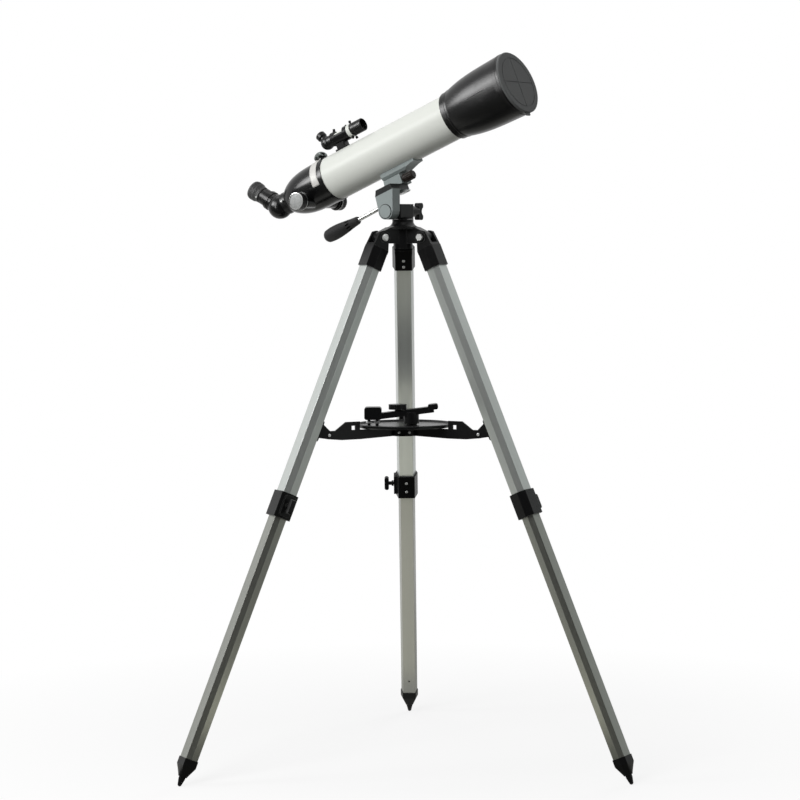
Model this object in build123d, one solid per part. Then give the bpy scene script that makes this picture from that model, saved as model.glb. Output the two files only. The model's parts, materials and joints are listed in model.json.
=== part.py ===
from build123d import *
import math
import os

# A small refracting telescope on a folding aluminium tripod, in millimetres, +Z up.
# The origin is the middle of the footprint on the floor. The tripod's upright axis stands
# AXIS_Y away from it, because one leg points to the back (+Y) and two to the front.

os.makedirs("parts", exist_ok=True)

# Fits
RUN_GAP = 0.05              # radial play of a pin or shaft that turns in its hole
LOOSE_GAP = 0.3             # between pieces that move apart or turn face to face
SLIDE_GAP = 0.4             # between the two tubes of a leg
OVER = 1.0                  # how far a cut runs past the face it starts from

# Tripod stance
LEG_AZIMUTHS = (90, 210, 330)
LEG_SPLAY = 23.3            # degrees from upright, fully spread
FOOT_R = 496.0              # upright axis to the middle of a foot's nub
HINGE_R = 50.0              # upright axis to a leg's hinge bolt
NUB_R = 4.0                 # rounded point of a foot
LEG_REACH = (FOOT_R - HINGE_R) / math.sin(math.radians(LEG_SPLAY))
HINGE_Z = NUB_R + LEG_REACH * math.cos(math.radians(LEG_SPLAY))
AXIS_Y = -FOOT_R / 4

# Leg section: a six-sided extrusion, widest a little inside its outer flat
LEG_OUTER_X = 15.0
LEG_WIDE_X = 2.5
LEG_INNER_X = -15.0
LEG_OUTER_HALF = 15.0
LEG_WIDE_HALF = 19.5
LEG_INNER_HALF = 14.5
LEG_WALL = 1.6
LEG_EDGE_R = 1.0
LOWER_GROW = -LEG_WALL - SLIDE_GAP

# Stations along a leg, down from its hinge
BRACKET_TOP = 22.0
BRACKET_END = 65.0
BRACKET_WALL = 3.0
TUBE_TOP = 26.0
COLLAR_MID = 561.0
COLLAR_LENGTH = 50.0
COLLAR_WALL = 3.6
UPPER_END = COLLAR_MID - 12.0
LOWER_TOP = 478.0
FOOT_TOP = LEG_REACH - 51.0
FOOT_SLEEVE = 14.0
FOOT_TAPER = 36.0
FOOT_WALL = 1.4
ANKLE_R = 6.5
WAIST_R = 8.5
BUTTON_HOLE_R = 2.0
BUTTON_HOLE_UP = 30.0

# Leg clamp
SCREW_R = 3.0
BOSS_REACH = LEG_WIDE_HALF + COLLAR_WALL + 3.5
BOSS_HALF_Z = 21.0
WING_LENGTH = 29.0

# Hub and hinges
EAR_HALF = 11.0
EAR_END_R = 12.0
CHEEK_GAP = 0.4
CHEEK_T = 6.0
CHEEK_OUT = EAR_HALF + CHEEK_GAP + CHEEK_T
BOLT_R = 4.0
BOLT_RIM_R = 11.0
BOLT_RIM_T = 1.2
HUB_R = 21.0
FLARE_R = HUB_R + 13.0
HUB_TOP = HINGE_Z + 35.5
HUB_BOTTOM = HINGE_Z - 22.0
POST_R = 9.0

# Spreader and tray
LUG_PIN_R = 171.0           # upright axis to the arms' outer pivots
ARM_Z = 656.0
ARM_PIN_R = 20.0            # upright axis to the arms' inner pivots
ARM_T = 3.0
ARM_END_R = 8.0
ARM_TOP = 24.0              # above the pivot line, outside the tray
ARM_KEEL = 3.0              # how far the deep stretch hangs below the tongues
ARM_PIN = 2.5
PIN_HALF = 9.0
LUG_X = (LUG_PIN_R - HINGE_R) * math.cos(math.radians(LEG_SPLAY)) + (ARM_Z - HINGE_Z) * math.sin(
    math.radians(LEG_SPLAY))
LUG_Z = (HINGE_R - LUG_PIN_R) * math.sin(math.radians(LEG_SPLAY)) + (ARM_Z - HINGE_Z) * math.cos(
    math.radians(LEG_SPLAY))
LUG_GAP = ARM_T / 2 + 0.8
LUG_OUT = LUG_GAP + 3.0
LUG_BASE_T = 3.0
LUG_BASE_HALF = 13.0
LUG_BASE_LONG = 21.0
SPREADER_R = 28.0
SPREADER_HALF = 8.0
TRAY_R = 97.0
TRAY_Z = ARM_Z + ARM_END_R + 1.5
TRAY_RIM = 7.0
TRAY_WALL = 3.2
TRAY_FLOOR = TRAY_Z + TRAY_WALL

# Aim of the telescope
YAW = 33.0                  # front end swung towards the viewer from +X
ALTITUDE = 22.1             # front end raised
TUBE_OVER_HUB = HINGE_Z + 185.5

# Pan block and tilt arm: forward and across from the upright axis
HEAD_Z = HUB_TOP + LOOSE_GAP
HEAD_TOP = HEAD_Z + 29.5
TILT_A = -5.0               # tilt axis behind the upright axis
TILT_Z = HINGE_Z + 51.0
SHAFT_R = 5.0
BLOCK_NEAR = -27.5
BLOCK_FAR = 20.0
BOSS_FAR = 44.0
ARM_NEAR = -54.0
ARM_FAR = -28.0
ARM_BOSS_R = 16.0
LOCK_KNOB_END = 72.5

# Handle, stations behind its root on the tilt arm
HANDLE_R = 4.0
HANDLE_BACK = 15.0
HANDLE_UP = 9.0
HANDLE_SLOPE = 23.6         # degrees, falling towards the grip
HANDLE_SEAT = 15.5
GRIP_START = -62.0
GRIP_END = -151.0
GRIP_R = 14.0
ROD_END = GRIP_END + 30.0

# Platform, clamp and saddle: heights are from the tube's axis, stations along it
SADDLE_BOTTOM = -55.0
CLAMP_TOP = -57.0
PLATFORM_TOP = -76.5
PLATFORM_BOTTOM = -88.0
PLATFORM_FRONT = -25.0
PLATFORM_REAR = -67.0
PLATFORM_FAR = 9.0
SCREW_S = -36.0
SCREW_THREAD_R = 3.2        # quarter-inch camera thread
BASE_HALF = 17.0
BASE_REAR = -63.0
BASE_FRONT = -20.0
CLAMP_X = -8.5
CLAMP_U = -69.0
CLAMP_STEM_R = 3.0
CLAMP_STEM = 9.0
CLAMP_KNOB_R = 9.0
CLAMP_KNOB_LENGTH = 27.0
CRADLE_REAR = -63.0
CRADLE_FRONT = 21.0
CRADLE_HALF = 17.0
CRADLE_LIP = -38.0
CRADLE_SOLE = 13.0
ARCH_R = 60.0               # hollow under the cradle's front end
ARCH_U = -107.0

# Main tube and dew shield, stations along the axis from the point over the hub
TUBE_R = 45.0
TUBE_WALL = 1.5
TUBE_FRONT = 144.0
TUBE_REAR = -176.0
SHIELD_REAR = 132.0
SHIELD_STEP = SHIELD_REAR + 16.0
SHIELD_FRONT = 283.0
SHIELD_R = 62.5
SHIELD_NECK_R = 50.0
SHIELD_WALL = 2.2
COLLAR_R = 48.5
MOUTH = 14.0                # straight stretch at the shield's front
CAP_T = 5.0
CAP_SKIRT = 12.0
CAP_RING_R = 50.0
CAP_GROOVE = 1.6
CAP_TAB = 5.0

# Objective
CELL_REAR = 110.0
CELL_LIP = 6.0
LENS_R = 41.0
LIP_R = 39.5

# Rear casting and focuser
NECK_END = -294.0
FLANGE_R = 46.8
FLANGE_T = 6.0
DOME = ((46.0, TUBE_REAR - FLANGE_T), (45.0, -233.0), (36.5, -273.0), (24.0, NECK_END))
DOME_WALL = 2.6
PLUG_LENGTH = 14.0
PLUG_BORE = 41.5
FOCUS_S = -232.0
FOCUS_U = -27.0
FOCUS_BOSS_R = 14.0
FOCUS_BOSS = 50.0           # half the width over the shaft's bosses
FOCUS_SHAFT_R = 3.0
TOOTH_MODULE = 0.8
PINION_TEETH = 16
PITCH = math.pi * TOOTH_MODULE
PITCH_R = TOOTH_MODULE * PINION_TEETH / 2
DEDENDUM = 1.2 * TOOTH_MODULE
ADDENDUM = 0.9 * TOOTH_MODULE
TOOTH_WIDE = 0.42 * PITCH
TOOTH_NARROW = 0.20 * PITCH
PINION_WIDTH = 10.0
RACK_WIDTH = 8.0
RACK_REAR = -257.0
RACK_FRONT = -201.0
RACK_LINE = FOCUS_U + PITCH_R
KNOB_IN = 55.0
KNOB_OUT = 76.0
KNOB_R = 18.0
KNOB_RIM = 2.2
KNOB_RIBS = 24
DRAW_R = 18.5
DRAW_BORE = 15.9            # 31.7 mm push fit
DRAW_FRONT = -140.0
DRAW_END = -306.0
DRAW_COLLAR_R = 23.0
LOCK_S = -192.0
LOCK_SEAT = 49.0
LOCK_R = 14.0
LOCK_HIGH = 14.0
LOCK_STEM_R = 3.0

# Diagonal and eyepiece
BALL_S = -324.0
BALL_R = 25.0
EYE_BEND = 50.0             # eyepiece axis, turned up from straight back
HOLDER_R = 18.5
HOLDER_END = 33.0
PRISM_HALF = 9.0
PRISM_ROOM_R = 17.5
NOSE = 24.0
EYE_BORE = 13.8
BARREL_IN = 16.0
BARREL_R = 15.5
BARREL_END = 66.0
CUP_R = 20.0
CUP_END = 76.0

# Finder, on top of the tube
FINDER_U = 71.5
FINDER_FRONT = -71.0
FINDER_TUBE_R = 10.5
FINDER_TUBE_FRONT = -84.0
FINDER_BAND = -107.0
FINDER_BAND_R = 13.8
FINDER_WALL = 1.2
HOOD_REAR = -99.0
HOOD_R = 13.2
HOOD_STEP = -82.0
RING_STATIONS = (-112.0, -144.5)
RING_R = 14.5
RING_BORE = 12.2
RING_HALF = 4.5
RING_SCREW_R = 1.6
TROUGH_TOP = 4.0            # the bracket's side wall between its rings, above the finder's axis
FINDER_BALL_S = -165.0
FINDER_BALL_R = 14.0
FINDER_SLEEVE_R = 12.4
FINDER_BEND = 62.0
FINDER_HOLDER_R = 8.5
FINDER_BORE = 6.5
FINDER_HOLDER_END = 14.0
FINDER_EYE_END = 26.5


def sin(degrees):
    return math.sin(math.radians(degrees))


def cos(degrees):
    return math.cos(math.radians(degrees))


# Shared frames: X outward and Z up along a leg; X forward and Y across on the head;
# X across, Y up and Z forward along the telescope
def leg_frame(azimuth):
    out = Vector(cos(azimuth), sin(azimuth), 0)
    up = Vector(0, 0, 1)
    return Plane(
        origin=out * HINGE_R + up * HINGE_Z,
        x_dir=out * cos(LEG_SPLAY) + up * sin(LEG_SPLAY),
        z_dir=out * -sin(LEG_SPLAY) + up * cos(LEG_SPLAY),
    )


def upright_frame(azimuth):
    return Plane(origin=(0, 0, 0), x_dir=(cos(azimuth), sin(azimuth), 0), z_dir=(0, 0, 1))


PAN_FRAME = upright_frame(-YAW)
SCOPE_FRAME = Plane(
    origin=(0, 0, TUBE_OVER_HUB),
    x_dir=(sin(YAW), cos(YAW), 0),
    z_dir=(cos(ALTITUDE) * cos(YAW), -cos(ALTITUDE) * sin(YAW), sin(ALTITUDE)),
)
HANDLE_FRAME = Plane(
    origin=PAN_FRAME.from_local_coords(
        Vector(TILT_A - HANDLE_BACK, (ARM_NEAR + ARM_FAR) / 2, TILT_Z + HANDLE_UP)),
    x_dir=SCOPE_FRAME.x_dir,
    z_dir=(cos(HANDLE_SLOPE) * cos(YAW), -cos(HANDLE_SLOPE) * sin(YAW), sin(HANDLE_SLOPE)),
)


def bent_frame(height, station, bend):
    """An axis that leaves the telescope's line, turned up from straight back."""
    return Plane(
        origin=SCOPE_FRAME.from_local_coords(Vector(0, height, station)),
        x_dir=SCOPE_FRAME.x_dir,
        z_dir=SCOPE_FRAME.z_dir * -cos(bend) + SCOPE_FRAME.y_dir * sin(bend),
    )


EYE_AXIS = bent_frame(0, BALL_S, EYE_BEND)
FINDER_EYE = bent_frame(FINDER_U, FINDER_BALL_S, FINDER_BEND)
FINDER_LINE = SCOPE_FRAME * Pos(0, FINDER_U, 0)
FOCUS_AXIS = SCOPE_FRAME * Pos(0, FOCUS_U, FOCUS_S) * Rot(0, 90, 0)


# Small building blocks
def rod(radius, z0, z1):
    return Pos(0, 0, z0) * Cylinder(radius, z1 - z0, align=(Align.CENTER, Align.CENTER, Align.MIN))


def tube(outer, inner, z0, z1):
    return rod(outer, z0, z1) - rod(inner, z0 - OVER, z1 + OVER)


def block(x0, x1, y0, y1, z0, z1):
    return Pos((x0 + x1) / 2, (y0 + y1) / 2, (z0 + z1) / 2) * Box(x1 - x0, y1 - y0, z1 - z0)


def rounded_box(x, y, z, axis, radius):
    """A box centred on its place, with its four edges along one axis rounded."""
    return fillet(Box(x, y, z).edges().filter_by(axis), radius)


def turned(*outline):
    """A solid of revolution about Z from a closed outline of (radius, height) points."""
    return revolve(Plane.XZ * make_face(Polyline(*outline, close=True)), Axis.Z)


def turned_edges(*edges):
    """A solid of revolution about Z from lines and curves that close an outline."""
    return revolve(Plane.XZ * make_face(edges), Axis.Z)


def cap_arc(edge_r, edge_z, apex_z):
    """The line of a spherical cap, from its edge to its apex on the axis."""
    rise = apex_z - edge_z
    radius = (edge_r ** 2 + rise ** 2) / (2 * rise)
    half = edge_r / 2
    half_z = apex_z - radius + math.copysign(math.sqrt(radius ** 2 - half ** 2), radius)
    return ThreePointArc((edge_r, edge_z), (half, half_z), (0, apex_z))


def lens(radius, rear_edge, rear_apex, front_edge, front_apex):
    return turned_edges(
        Line((0, rear_apex), (0, front_apex)),
        cap_arc(radius, front_edge, front_apex),
        Line((radius, front_edge), (radius, rear_edge)),
        cap_arc(radius, rear_edge, rear_apex),
    )


def side_plate(outline, y0, y1):
    """A plate cut to an outline in X and Z, between two places across."""
    face = Plane.XZ * make_face(Polyline(*outline, close=True))
    return Pos(0, y1, 0) * extrude(face, y1 - y0)


def side_slab(outline, across0, across1):
    """A slab in the telescope frame from an outline of (station, height) points."""
    face = Plane.YZ * make_face(Polyline(*[(up, station) for station, up in outline], close=True))
    return Pos(across0, 0, 0) * extrude(face, across1 - across0)


def pin_across(radius, x, z, y0, y1):
    return Pos(x, (y0 + y1) / 2, z) * Rot(90, 0, 0) * Cylinder(radius, abs(y1 - y0))


def pin_forward(radius, y, z, x0, x1):
    return Pos((x0 + x1) / 2, y, z) * Rot(0, 90, 0) * Cylinder(radius, x1 - x0)


def pin_up(radius, across, station, up0, up1):
    """A pin square to the telescope's line, in its own frame."""
    return Pos(across, (up0 + up1) / 2, station) * Rot(90, 0, 0) * Cylinder(radius, up1 - up0)


def ring_of(count, shape):
    return [Rot(0, 0, 360 * n / count) * shape for n in range(count)]


# Legs
def leg_section(grow=0.0):
    half = (
        (LEG_OUTER_X, LEG_OUTER_HALF),
        (LEG_WIDE_X, LEG_WIDE_HALF),
        (LEG_INNER_X, LEG_INNER_HALF),
    )
    mirrored = [(x, -y) for x, y in reversed(half)]
    face = make_face(Polyline(*half, *mirrored, close=True))
    if grow:
        face = offset(face, grow, kind=Kind.INTERSECTION)
    return fillet(face.vertices(), LEG_EDGE_R)


def leg_prism(grow, top, bottom):
    return Pos(0, 0, -bottom) * extrude(leg_section(grow), bottom - top)


def upper_leg():
    return leg_prism(0, TUBE_TOP, UPPER_END) - leg_prism(-LEG_WALL, TUBE_TOP - OVER, UPPER_END + OVER)


def lower_leg():
    end = FOOT_TOP + FOOT_SLEEVE
    outside = leg_prism(LOWER_GROW, LOWER_TOP, end)
    inside = leg_prism(LOWER_GROW - LEG_WALL, LOWER_TOP - OVER, end + OVER)
    button_hole = pin_forward(BUTTON_HOLE_R, 0, BUTTON_HOLE_UP - FOOT_TOP, LEG_INNER_X - OVER, 0)
    return outside - inside - button_hole


def leg_bracket():
    """Socket over the tube's top, with two cheeks that straddle the hub's ear."""
    outer_x = LEG_OUTER_X + BRACKET_WALL
    inner_x = LEG_INNER_X - BRACKET_WALL
    sleeve = leg_prism(BRACKET_WALL, BRACKET_TOP, BRACKET_END)
    head = side_plate(
        [(outer_x, -30), (14, 7), (7, 12), (-6, 11.5), (-12.5, 3), (-12.5, -8), (inner_x, -23),
         (inner_x, -30)],
        -CHEEK_OUT, CHEEK_OUT,
    )
    head = fillet(head.edges().filter_by(Axis.Y).sort_by(Axis.Z)[-4:], 4)
    bolt_rim = pin_across(BOLT_RIM_R, 0, 0, -CHEEK_OUT - BOLT_RIM_T, CHEEK_OUT + BOLT_RIM_T)
    slot_half = EAR_HALF + CHEEK_GAP
    slot = block(-40, 40, -slot_half, slot_half, -17, 40)
    socket = leg_prism(0, TUBE_TOP, BRACKET_END + OVER)
    bolt_hole = pin_across(BOLT_R + RUN_GAP, 0, 0, -40, 40)
    return sleeve + head + bolt_rim - slot - socket - bolt_hole


def leg_collar():
    """Clamp collar on the upper tube's end, with the thumbscrew's square boss at one side."""
    top = COLLAR_MID - COLLAR_LENGTH / 2
    bottom = COLLAR_MID + COLLAR_LENGTH / 2
    boss = block(-9, 12, 0, BOSS_REACH, -COLLAR_MID - BOSS_HALF_Z, -COLLAR_MID + BOSS_HALF_Z)
    boss = fillet(boss.edges().filter_by(Axis.Y), 3)
    collar = leg_prism(COLLAR_WALL, top, bottom) + boss
    collar -= leg_prism(0, top - OVER, UPPER_END)
    collar -= leg_prism(LOWER_GROW + SLIDE_GAP, top, bottom + OVER)
    return collar - pin_across(SCREW_R + RUN_GAP, LEG_WIDE_X, -COLLAR_MID, 0, 2 * BOSS_REACH)


def collar_thumbscrew():
    """Wing-headed clamp screw; its tip stops just short of the lower tube."""
    tip = LEG_WIDE_HALF + LOWER_GROW + SLIDE_GAP
    neck = BOSS_REACH + 2 * LOOSE_GAP
    screw = pin_across(SCREW_R, LEG_WIDE_X, -COLLAR_MID, tip, neck + 6)
    skirt = pin_across(2 * SCREW_R, LEG_WIDE_X, -COLLAR_MID, neck, neck + 4)
    stem = pin_across(1.3 * SCREW_R, LEG_WIDE_X, -COLLAR_MID, neck, neck + 12)
    wing = Pos(LEG_WIDE_X, neck + 14.5, -COLLAR_MID) * rounded_box(8, 9, WING_LENGTH, Axis.X, 4.2)
    return screw + skirt + stem + wing


def foot():
    """Moulded cap over the lower tube's end, stepped in to a tapered point."""
    shoulder_z = -FOOT_TOP - FOOT_SLEEVE
    waist_z = -FOOT_TOP - FOOT_TAPER
    sleeve = leg_prism(LOWER_GROW + FOOT_WALL, FOOT_TOP, FOOT_TOP + FOOT_SLEEVE)
    sleeve -= leg_prism(LOWER_GROW, FOOT_TOP - OVER, FOOT_TOP + FOOT_SLEEVE)
    shoulder = Pos(0, 0, shoulder_z) * leg_section(LOWER_GROW + FOOT_WALL)
    taper = loft([shoulder, Pos(0, 0, waist_z) * Circle(WAIST_R)])
    ankle = rod(ANKLE_R, waist_z - 4, waist_z)
    point = -LEG_REACH
    spike = Pos(0, 0, point) * Cone(NUB_R, ANKLE_R, 11, align=(Align.CENTER, Align.CENTER, Align.MIN))
    nub = Pos(0, 0, point) * Sphere(NUB_R)
    return sleeve + taper + ankle + spike + nub


# Hub
def tripod_hub():
    """Column with three ears for the legs and a flared neck that the head turns on."""
    hub = rod(HUB_R - 2, HUB_BOTTOM, HUB_TOP - 14) + rod(HUB_R, HUB_TOP - 14, HUB_TOP)
    flare_top = HUB_TOP - 6
    flare_edge = HUB_TOP - 15.5
    flare_under = HUB_TOP - 19
    flare = turned_edges(
        Line((0, flare_top), (HUB_R, flare_top)),
        RadiusArc((HUB_R, flare_top), (FLARE_R, flare_edge), -14),
        Line((FLARE_R, flare_edge), (FLARE_R, flare_under)),
        Line((FLARE_R, flare_under), (0, flare_under)),
        Line((0, flare_under), (0, flare_top)),
    )
    ears = []
    for azimuth in LEG_AZIMUTHS:
        web = side_plate(
            [(0, HINGE_Z - EAR_END_R), (HINGE_R, HINGE_Z - EAR_END_R), (HINGE_R, HINGE_Z + EAR_END_R),
             (FLARE_R - 1, flare_edge), (0, flare_edge)],
            -EAR_HALF, EAR_HALF,
        )
        end = pin_across(EAR_END_R, HINGE_R, HINGE_Z, -EAR_HALF, EAR_HALF)
        hole = pin_across(BOLT_R, HINGE_R, HINGE_Z, -CHEEK_OUT, CHEEK_OUT)
        ears.append(upright_frame(azimuth) * (web + end - hole))
    bore = rod(POST_R + RUN_GAP, HUB_BOTTOM - OVER, HUB_TOP + OVER)
    return hub + flare + ears - bore


def hinge_bolts():
    """Three hinge bolts: a round head on one side, a hexagon nut on the other."""
    reach = CHEEK_OUT + BOLT_RIM_T + LOOSE_GAP
    bolts = []
    for azimuth in LEG_AZIMUTHS:
        head = turned((0, 0), (7, 0), (7, 2), (4.5, 4), (0, 4))
        nut = extrude(RegularPolygon(7.2, 6), 5)
        bolt = pin_across(BOLT_R, 0, 0, -reach, reach)
        bolt += Pos(0, reach, 0) * Rot(-90, 0, 0) * head
        bolt += Pos(0, -reach, 0) * Rot(90, 0, 0) * nut
        bolts.append(upright_frame(azimuth) * (Pos(HINGE_R, 0, HINGE_Z) * bolt))
    return Compound(bolts)


# Spreader
def spreader_lug():
    """Bracket on the leg's inner face whose two cheeks take the arm's rounded end."""
    face_x = LEG_INNER_X
    base = block(face_x - LUG_BASE_T, face_x, -LUG_BASE_HALF, LUG_BASE_HALF,
                 LUG_Z - LUG_BASE_LONG, LUG_Z + LUG_BASE_LONG)
    base = fillet(base.edges().filter_by(Axis.X), 4)
    outline = [(face_x - 2, LUG_Z + 17), (LUG_X, LUG_Z + ARM_END_R), (LUG_X, LUG_Z - ARM_END_R),
               (face_x - 2, LUG_Z - 14)]
    cheeks = side_plate(outline, -LUG_OUT, LUG_OUT)
    cheeks += pin_across(ARM_END_R, LUG_X, LUG_Z, -LUG_OUT, LUG_OUT)
    gap = block(LUG_X - 30, face_x + OVER, -LUG_GAP, LUG_GAP, LUG_Z - 17, LUG_Z + 17)
    rivets = [pin_across(3.2, LUG_X, LUG_Z, side * LUG_OUT, side * (LUG_OUT + 1.5)) for side in (1, -1)]
    return base + cheeks - gap + rivets


def spreader_arm():
    """Pressed bar, low under the tray, deep outside it, with a rounded tongue at the leg."""
    low = ARM_Z - ARM_END_R
    high = ARM_Z + ARM_TOP
    tongue = ARM_Z + ARM_END_R
    deep = TRAY_R + 3.5
    outline = [(ARM_PIN_R, low), (deep, low - ARM_KEEL), (LUG_PIN_R - 30, low - ARM_KEEL), (LUG_PIN_R, low),
               (LUG_PIN_R, tongue), (LUG_PIN_R - 16, tongue), (LUG_PIN_R - 39, high), (deep, high),
               (deep, tongue), (ARM_PIN_R, tongue)]
    bar = side_plate(outline, -ARM_T / 2, ARM_T / 2)
    for end in (ARM_PIN_R, LUG_PIN_R):
        bar += pin_across(ARM_END_R, end, ARM_Z, -ARM_T / 2, ARM_T / 2)
    window = block(111, 119, -ARM_T, ARM_T, ARM_Z + 8, ARM_Z + 16)
    pivot = pin_across(ARM_PIN + RUN_GAP, ARM_PIN_R, ARM_Z, -ARM_T, ARM_T)
    return bar - window - pivot


def spreader_hub():
    """Round hub under the tray, slotted for the three arms."""
    hub = rod(SPREADER_R, ARM_Z - SPREADER_HALF, ARM_Z + SPREADER_HALF)
    hub += rod(10, ARM_Z + SPREADER_HALF - OVER, TRAY_Z)
    slot_half = ARM_T / 2 + SLIDE_GAP
    for azimuth in LEG_AZIMUTHS:
        cut = block(9, 2 * SPREADER_R, -slot_half, slot_half, ARM_Z - 40, TRAY_Z - OVER)
        cut += pin_across(ARM_PIN, ARM_PIN_R, ARM_Z, -PIN_HALF, PIN_HALF)
        hub -= upright_frame(azimuth) * cut
    return hub


def spreader_pins():
    pin = pin_across(ARM_PIN, ARM_PIN_R, ARM_Z, -PIN_HALF, PIN_HALF)
    return Compound([upright_frame(azimuth) * pin for azimuth in LEG_AZIMUTHS])


def tray_plate():
    """Round dished tray on the spreader's hub, inside the deep stretches of the arms."""
    top = TRAY_Z + TRAY_RIM
    inner = TRAY_R - TRAY_WALL
    return turned((0, TRAY_Z), (TRAY_R - 2, TRAY_Z), (TRAY_R, TRAY_Z + 2), (TRAY_R, top - 1), (TRAY_R - 1, top),
                  (inner, top), (inner - 2, TRAY_FLOOR), (0, TRAY_FLOOR))


def phone_adapter():
    """Loose clamp that holds a phone to the eyepiece, lying on the tray."""
    lean = Rot(0, -7, 0)
    bar = Pos(0, 0, 24) * lean * rounded_box(118, 24, 12, Axis.Z, 4)
    jaw = Pos(-62, 0, 23.5) * rounded_box(34, 30, 25, Axis.Y, 5)
    stop = Pos(57, 0, 36) * lean * rounded_box(20, 27, 11, Axis.Y, 4)
    knob = rod(6, 24, 32) + rod(18, 31, 41) - ring_of(14, Pos(18.6, 0, 0) * rod(1.8, 30, 42))
    bolts = [Pos(x, 0, 0) * rod(3.2, 0, 14) for x in (-70, -54)]
    drum = Pos(14, 0, 0) * (rod(15, 3, 25) + rod(11, 0, 4))
    return Pos(0, 0, TRAY_FLOOR) * (bar + jaw + stop + Pos(-13, 0, 0) * knob + bolts + drum)


# Head
def pan_base():
    """Turntable block with the post that turns in the hub and the bearing of the tilt shaft."""
    body = block(-20, 13, BLOCK_NEAR, BLOCK_FAR, HEAD_Z + 3, HEAD_TOP)
    body = fillet(body.edges().filter_by(Axis.Z), 2)
    turntable = rod(HUB_R, HEAD_Z, HEAD_Z + 4)
    boss = pin_across(11, TILT_A, TILT_Z, BLOCK_FAR - 2, BOSS_FAR)
    post = rod(POST_R, HUB_BOTTOM + 4, HEAD_Z + 4)
    bore = pin_across(SHAFT_R + RUN_GAP, TILT_A, TILT_Z, 2 * BLOCK_NEAR, 2 * BOSS_FAR)
    return PAN_FRAME * (body + turntable + boss + post - bore)


def tilt_arm():
    """Cast upright with a round pivot boss, carrying the platform out over the hub."""
    front = TILT_A + 17
    outline = [(front, TILT_Z), (front, TILT_Z + 46.6), (TILT_A - 24, TILT_Z + 30.6),
               (TILT_A - 15.5, TILT_Z - 2)]
    cheek = side_plate(outline, ARM_NEAR, ARM_FAR)
    cheek += pin_across(ARM_BOSS_R, TILT_A, TILT_Z, ARM_NEAR, ARM_FAR)
    cheek += pin_across(ARM_BOSS_R - 3, TILT_A, TILT_Z, ARM_NEAR - 1.5, ARM_NEAR)
    bore = pin_across(SHAFT_R + RUN_GAP, TILT_A, TILT_Z, ARM_NEAR + 7.5, ARM_FAR + OVER)
    platform = side_slab(
        [(PLATFORM_REAR, PLATFORM_BOTTOM), (PLATFORM_FRONT, PLATFORM_BOTTOM), (PLATFORM_FRONT, PLATFORM_TOP),
         (PLATFORM_REAR + 6, PLATFORM_TOP)],
        ARM_NEAR, PLATFORM_FAR,
    )
    screw_hole = pin_up(SCREW_THREAD_R + LOOSE_GAP, 0, SCREW_S, PLATFORM_BOTTOM - OVER, PLATFORM_TOP + OVER)
    socket = HANDLE_FRAME * rod(HANDLE_R + RUN_GAP, -12, HANDLE_SEAT + LOOSE_GAP)
    return PAN_FRAME * (cheek - bore) + SCOPE_FRAME * (platform - screw_hole) - socket


def tilt_lock_knob():
    """Winged knob on the far end of the tilt shaft."""
    shaft = pin_across(SHAFT_R, TILT_A, TILT_Z, ARM_NEAR + 8, LOCK_KNOB_END - 14)
    skirt = pin_across(8, TILT_A, TILT_Z, BOSS_FAR + OVER, LOCK_KNOB_END - 14)
    wing = Pos(TILT_A, LOCK_KNOB_END - 7.5, TILT_Z) * rounded_box(11, 15, 34, Axis.X, 5)
    waist = pin_forward(9, LOCK_KNOB_END + 4, TILT_Z, TILT_A - 15, TILT_A + 15)
    return PAN_FRAME * (shaft + skirt + (wing - waist))


def handle_rod():
    return HANDLE_FRAME * rod(HANDLE_R, ROD_END, HANDLE_SEAT)


def handle_grip():
    """Tapered grip, fullest near its end, with flutes along its sides."""
    end_r = GRIP_R - 1.5
    end_z = GRIP_END + 8
    grip = turned_edges(
        Line((0, GRIP_START), (6.5, GRIP_START)),
        Line((6.5, GRIP_START), (8, GRIP_START - 3)),
        Spline((8, GRIP_START - 3), (11, GRIP_START - 28), (GRIP_R, GRIP_END + 22), (end_r, end_z)),
        cap_arc(end_r, end_z, GRIP_END),
        Line((0, GRIP_END), (0, GRIP_START)),
    )
    flute = Pos(GRIP_R + 0.6, 0, 0) * Rot(0, 3.5, 0) * rod(2.2, GRIP_END + 12, GRIP_START - 20)
    grip -= ring_of(10, flute)
    return HANDLE_FRAME * (grip - rod(HANDLE_R, ROD_END, GRIP_START + OVER))


def platform_screw():
    """Camera screw under the platform, with its folding ring laid flat towards the front."""
    screw = pin_up(SCREW_THREAD_R, 0, SCREW_S, PLATFORM_BOTTOM - 4, CLAMP_TOP - 5)
    head = pin_up(8, 0, SCREW_S, PLATFORM_BOTTOM - 4.5, PLATFORM_BOTTOM - LOOSE_GAP)
    ring = Pos(0, PLATFORM_BOTTOM - 3.5, SCREW_S + 10) * Rot(90, 0, 0) * Torus(6.0, 1.2)
    return SCOPE_FRAME * (screw + head + ring)


def dovetail(shrink):
    top = 8.5 - shrink
    wide = 10.5 - shrink
    high = CLAMP_TOP + 0.5
    low = CLAMP_TOP - 4
    return make_face(Polyline((-top, high), (top, high), (wide, low), (-wide, low), close=True))


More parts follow.
